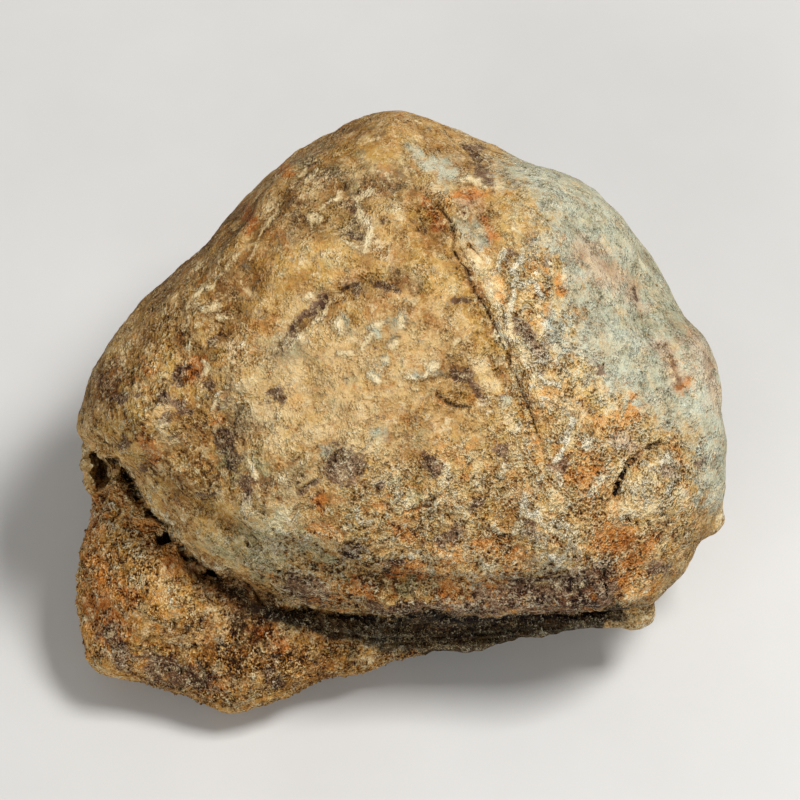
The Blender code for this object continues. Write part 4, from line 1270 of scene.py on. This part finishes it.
def crumb_tree(material):
    nodes, given, size = start_tree("matrix_crumbs", CRUMBS)
    gritty = named(nodes, "matrix").step(-0.2, 0.6).larger(named(nodes, "brown").step(0.0, 0.8))
    density = gritty * size["Crumbs per Area"]
    spread = {"Mesh": given, "Density": density, "Seed": 4}
    points = nodes.add("GeometryNodeDistributePointsOnFaces", {}, spread)
    ball = nodes.add("GeometryNodeMeshIcoSphere", {}, {"Radius": 1.0, "Subdivisions": 1})
    ranges = {"Min_001": size["Smallest"], "Max_001": size["Largest"], "Seed": 9}
    radius = nodes.add("FunctionNodeRandomValue", {"data_type": "FLOAT"}, ranges, "Value_001")
    turns = {"Max": (math.tau,) * 3, "Seed": 2}
    turn = nodes.add("FunctionNodeRandomValue", {"data_type": "FLOAT_VECTOR"}, turns, "Value")
    placed = {"Points": points, "Instance": ball, "Rotation": turn, "Scale": radius}
    crumbs = nodes.add("GeometryNodeInstanceOnPoints", {}, placed)
    loose = nodes.add("GeometryNodeRealizeInstances", {}, {"Geometry": crumbs})
    spot = nodes.add("GeometryNodeInputPosition")
    dent = nodes.vector("SUBTRACT", nodes.cloud(spot, 0.22, 1.0, 0.5, 3.0, 0.0, "Color"), (0.5, 0.5, 0.5))
    offset = nodes.vector("SCALE", dent, Scale=size["Dents"] * 2)
    dented = nodes.add("GeometryNodeSetPosition", {}, {"Geometry": loose, "Offset": offset})
    rough = nodes.add("GeometryNodeSetShadeSmooth", {}, {"Geometry": dented, "Shade Smooth": True})
    finished = nodes.add("GeometryNodeSetMaterial", {}, {"Geometry": rough, "Material": material})
    return end_tree(nodes, finished)


crumbs = new_thing("matrix_crumbs", stone.data.copy())
apply_tree(crumbs, crumb_tree(stone_material), CRUMBS)
print("crumb triangles:", triangles(crumbs.data))

# %% [markdown]
# ## Back to metres
#
# The finished skin goes back to metres, and its vertices are kept above the table. It then takes the
# solid's place: it rides on the body root, and the solid is hidden.

# %% Finish the pieces
def settle(thing):
    """Keeps a thing above the table, and turns its millimetres to metres."""
    places = read(thing.data, "co")
    places[:, 2] = np.maximum(places[:, 2], 0.0)
    write(thing.data, places)
    thing.data.transform(Matrix.Scale(TO_METRES, 4))
    thing.data.shade_smooth()


def finish_piece(thing, material):
    settle(thing)
    thing.data.materials.clear()
    thing.data.materials.append(material)
    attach(thing, "root")
    print(thing.name, "triangles:", triangles(thing.data))


finish_piece(stone, stone_material)
finish_piece(crumbs, stone_material)
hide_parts(NODE)

# %% [markdown]
# ## The table
#
# A stone shows best on a plain pale table. A flat plane would end in an edge, so this one is a wide disc
# whose rim curves up, and neither an edge nor a room's corner shows from any side. Spinning the outline of
# half the disc about its middle makes it in one step. A faint mottle keeps its grey from looking painted.

# %% Build the table
TABLE_RADIUS = 0.7
SWEEP_RADIUS = 0.5
SWEEP_STEPS = 12
ROUND_STEPS = 96
TABLE_TINTS = ((0.3, (0.56, 0.55, 0.53, 1)), (0.7, (0.6, 0.59, 0.57, 1)))


def table_finish():
    material = bpy.data.materials.new("pale_table")
    material.use_nodes = True
    nodes = Nodes(material.node_tree)
    shader = nodes.tree.nodes["Principled BSDF"]
    place = nodes.add("ShaderNodeTexCoord", {}, {}, "Object")
    mottle = nodes.cloud(place, 0.03, 4.0, 0.6)
    tint = nodes.add("ShaderNodeValToRGB", {"stops": TABLE_TINTS}, {"Fac": mottle}, "Color")
    nodes.tree.links.new(tint.socket, shader.inputs["Base Color"])
    roughness = 0.62 + centred(mottle, 0.1)
    nodes.tree.links.new(roughness.socket, shader.inputs["Roughness"])
    return material


def build_table():
    mesh = bpy.data.meshes.new("table")
    shape = bmesh.new()
    profile = [(0.0, 0.0), (TABLE_RADIUS, 0.0)]
    for step in range(1, SWEEP_STEPS + 1):
        angle = math.radians(90 * step / SWEEP_STEPS)
        out, up = SWEEP_RADIUS * math.sin(angle), SWEEP_RADIUS * (1 - math.cos(angle))
        profile.append((TABLE_RADIUS + out, up))
    corners = [shape.verts.new((radius, 0.0, height)) for radius, height in profile]
    edges = [shape.edges.new(pair) for pair in zip(corners, corners[1:])]
    bmesh.ops.spin(shape, geom=corners + edges, axis=(0, 0, 1), steps=ROUND_STEPS, angle=math.tau)
    bmesh.ops.remove_doubles(shape, verts=shape.verts, dist=1e-5)
    bmesh.ops.recalc_face_normals(shape, faces=shape.faces)
    shape.to_mesh(mesh)
    shape.free()
    mesh.materials.append(table_finish())
    mesh.shade_smooth()
    return new_thing("table", mesh)


table = build_table()
print("table, radius and faces:", TABLE_RADIUS + SWEEP_RADIUS, len(table.data.polygons))

# %% [markdown]
# ## The light
#
# A lamp high above and a little to the right does most of the work. It is only as wide as a hand, so that
# cracks and grains throw short shadows. A broad, weak lamp on the left keeps the shaded slope readable, and
# a grey sky lifts what neither of them reaches.

# %% Light it
# Each lamp as (place in metres, size, power)
LIGHTS = {
    "window": ((0.2, 0.02, 0.46), 0.13, 2.5),
    "fill": ((-0.2, -0.42, 0.26), 0.35, 1.15),
}
LIT_SPOT = (0.0, 0.0, 0.02)
SKY = 0.28


def aim(thing, place, target):
    thing.location = place
    thing.rotation_euler = (Vector(target) - Vector(place)).to_track_quat("-Z", "Y").to_euler()


for name, (place, size, power) in LIGHTS.items():
    lamp = bpy.data.lights.new(name, "AREA")
    lamp.size = size
    lamp.energy = power
    aim(new_thing(name, lamp), place, LIT_SPOT)
world = bpy.data.worlds.new("soft_room")
world.use_nodes = True
world.node_tree.nodes["Background"].inputs["Color"].default_value = (SKY, SKY, SKY, 1.0)
bpy.context.scene.world = world
bpy.context.scene.view_settings.view_transform = "Standard"
print("lamps:", *LIGHTS)

# %% [markdown]
# ## The camera
#
# It looks down at 60 degrees, which is straight at the face of the tipped stone, from as far off as a held
# stone is from the eye. Its lens follows from that distance and from how many picture dots a millimetre
# gets. It aims a little beside the stone's middle, so that the table shows on both sides, and needs no
# lens shift.

# %% Place the camera
DOTS_PER_MILLIMETRE = 10.5
PICTURE_WIDTH = 800 / DOTS_PER_MILLIMETRE
SENSOR_WIDTH = 36.0
PICTURE_CENTRE = (-5 / DOTS_PER_MILLIMETRE, 12 / DOTS_PER_MILLIMETRE)  # across and up from REST_PLACE
LOOK_DOWN = math.radians(60)

camera_data = bpy.data.cameras.new("camera")
camera_data.sensor_width = SENSOR_WIDTH
camera_data.lens = SENSOR_WIDTH * EYE_DISTANCE / PICTURE_WIDTH
camera = new_thing("camera", camera_data)
back = Vector((0.0, -math.cos(LOOK_DOWN), math.sin(LOOK_DOWN)))
up = Vector((0.0, math.sin(LOOK_DOWN), math.cos(LOOK_DOWN)))
target = REST_PLACE + Vector((1, 0, 0)) * PICTURE_CENTRE[0] + up * PICTURE_CENTRE[1]
camera.location = (target + back * EYE_DISTANCE) * TO_METRES
camera.rotation_euler = back.to_track_quat("Z", "Y").to_euler()
bpy.context.scene.camera = camera
print("camera's place and lens:", *camera.location, camera_data.lens)
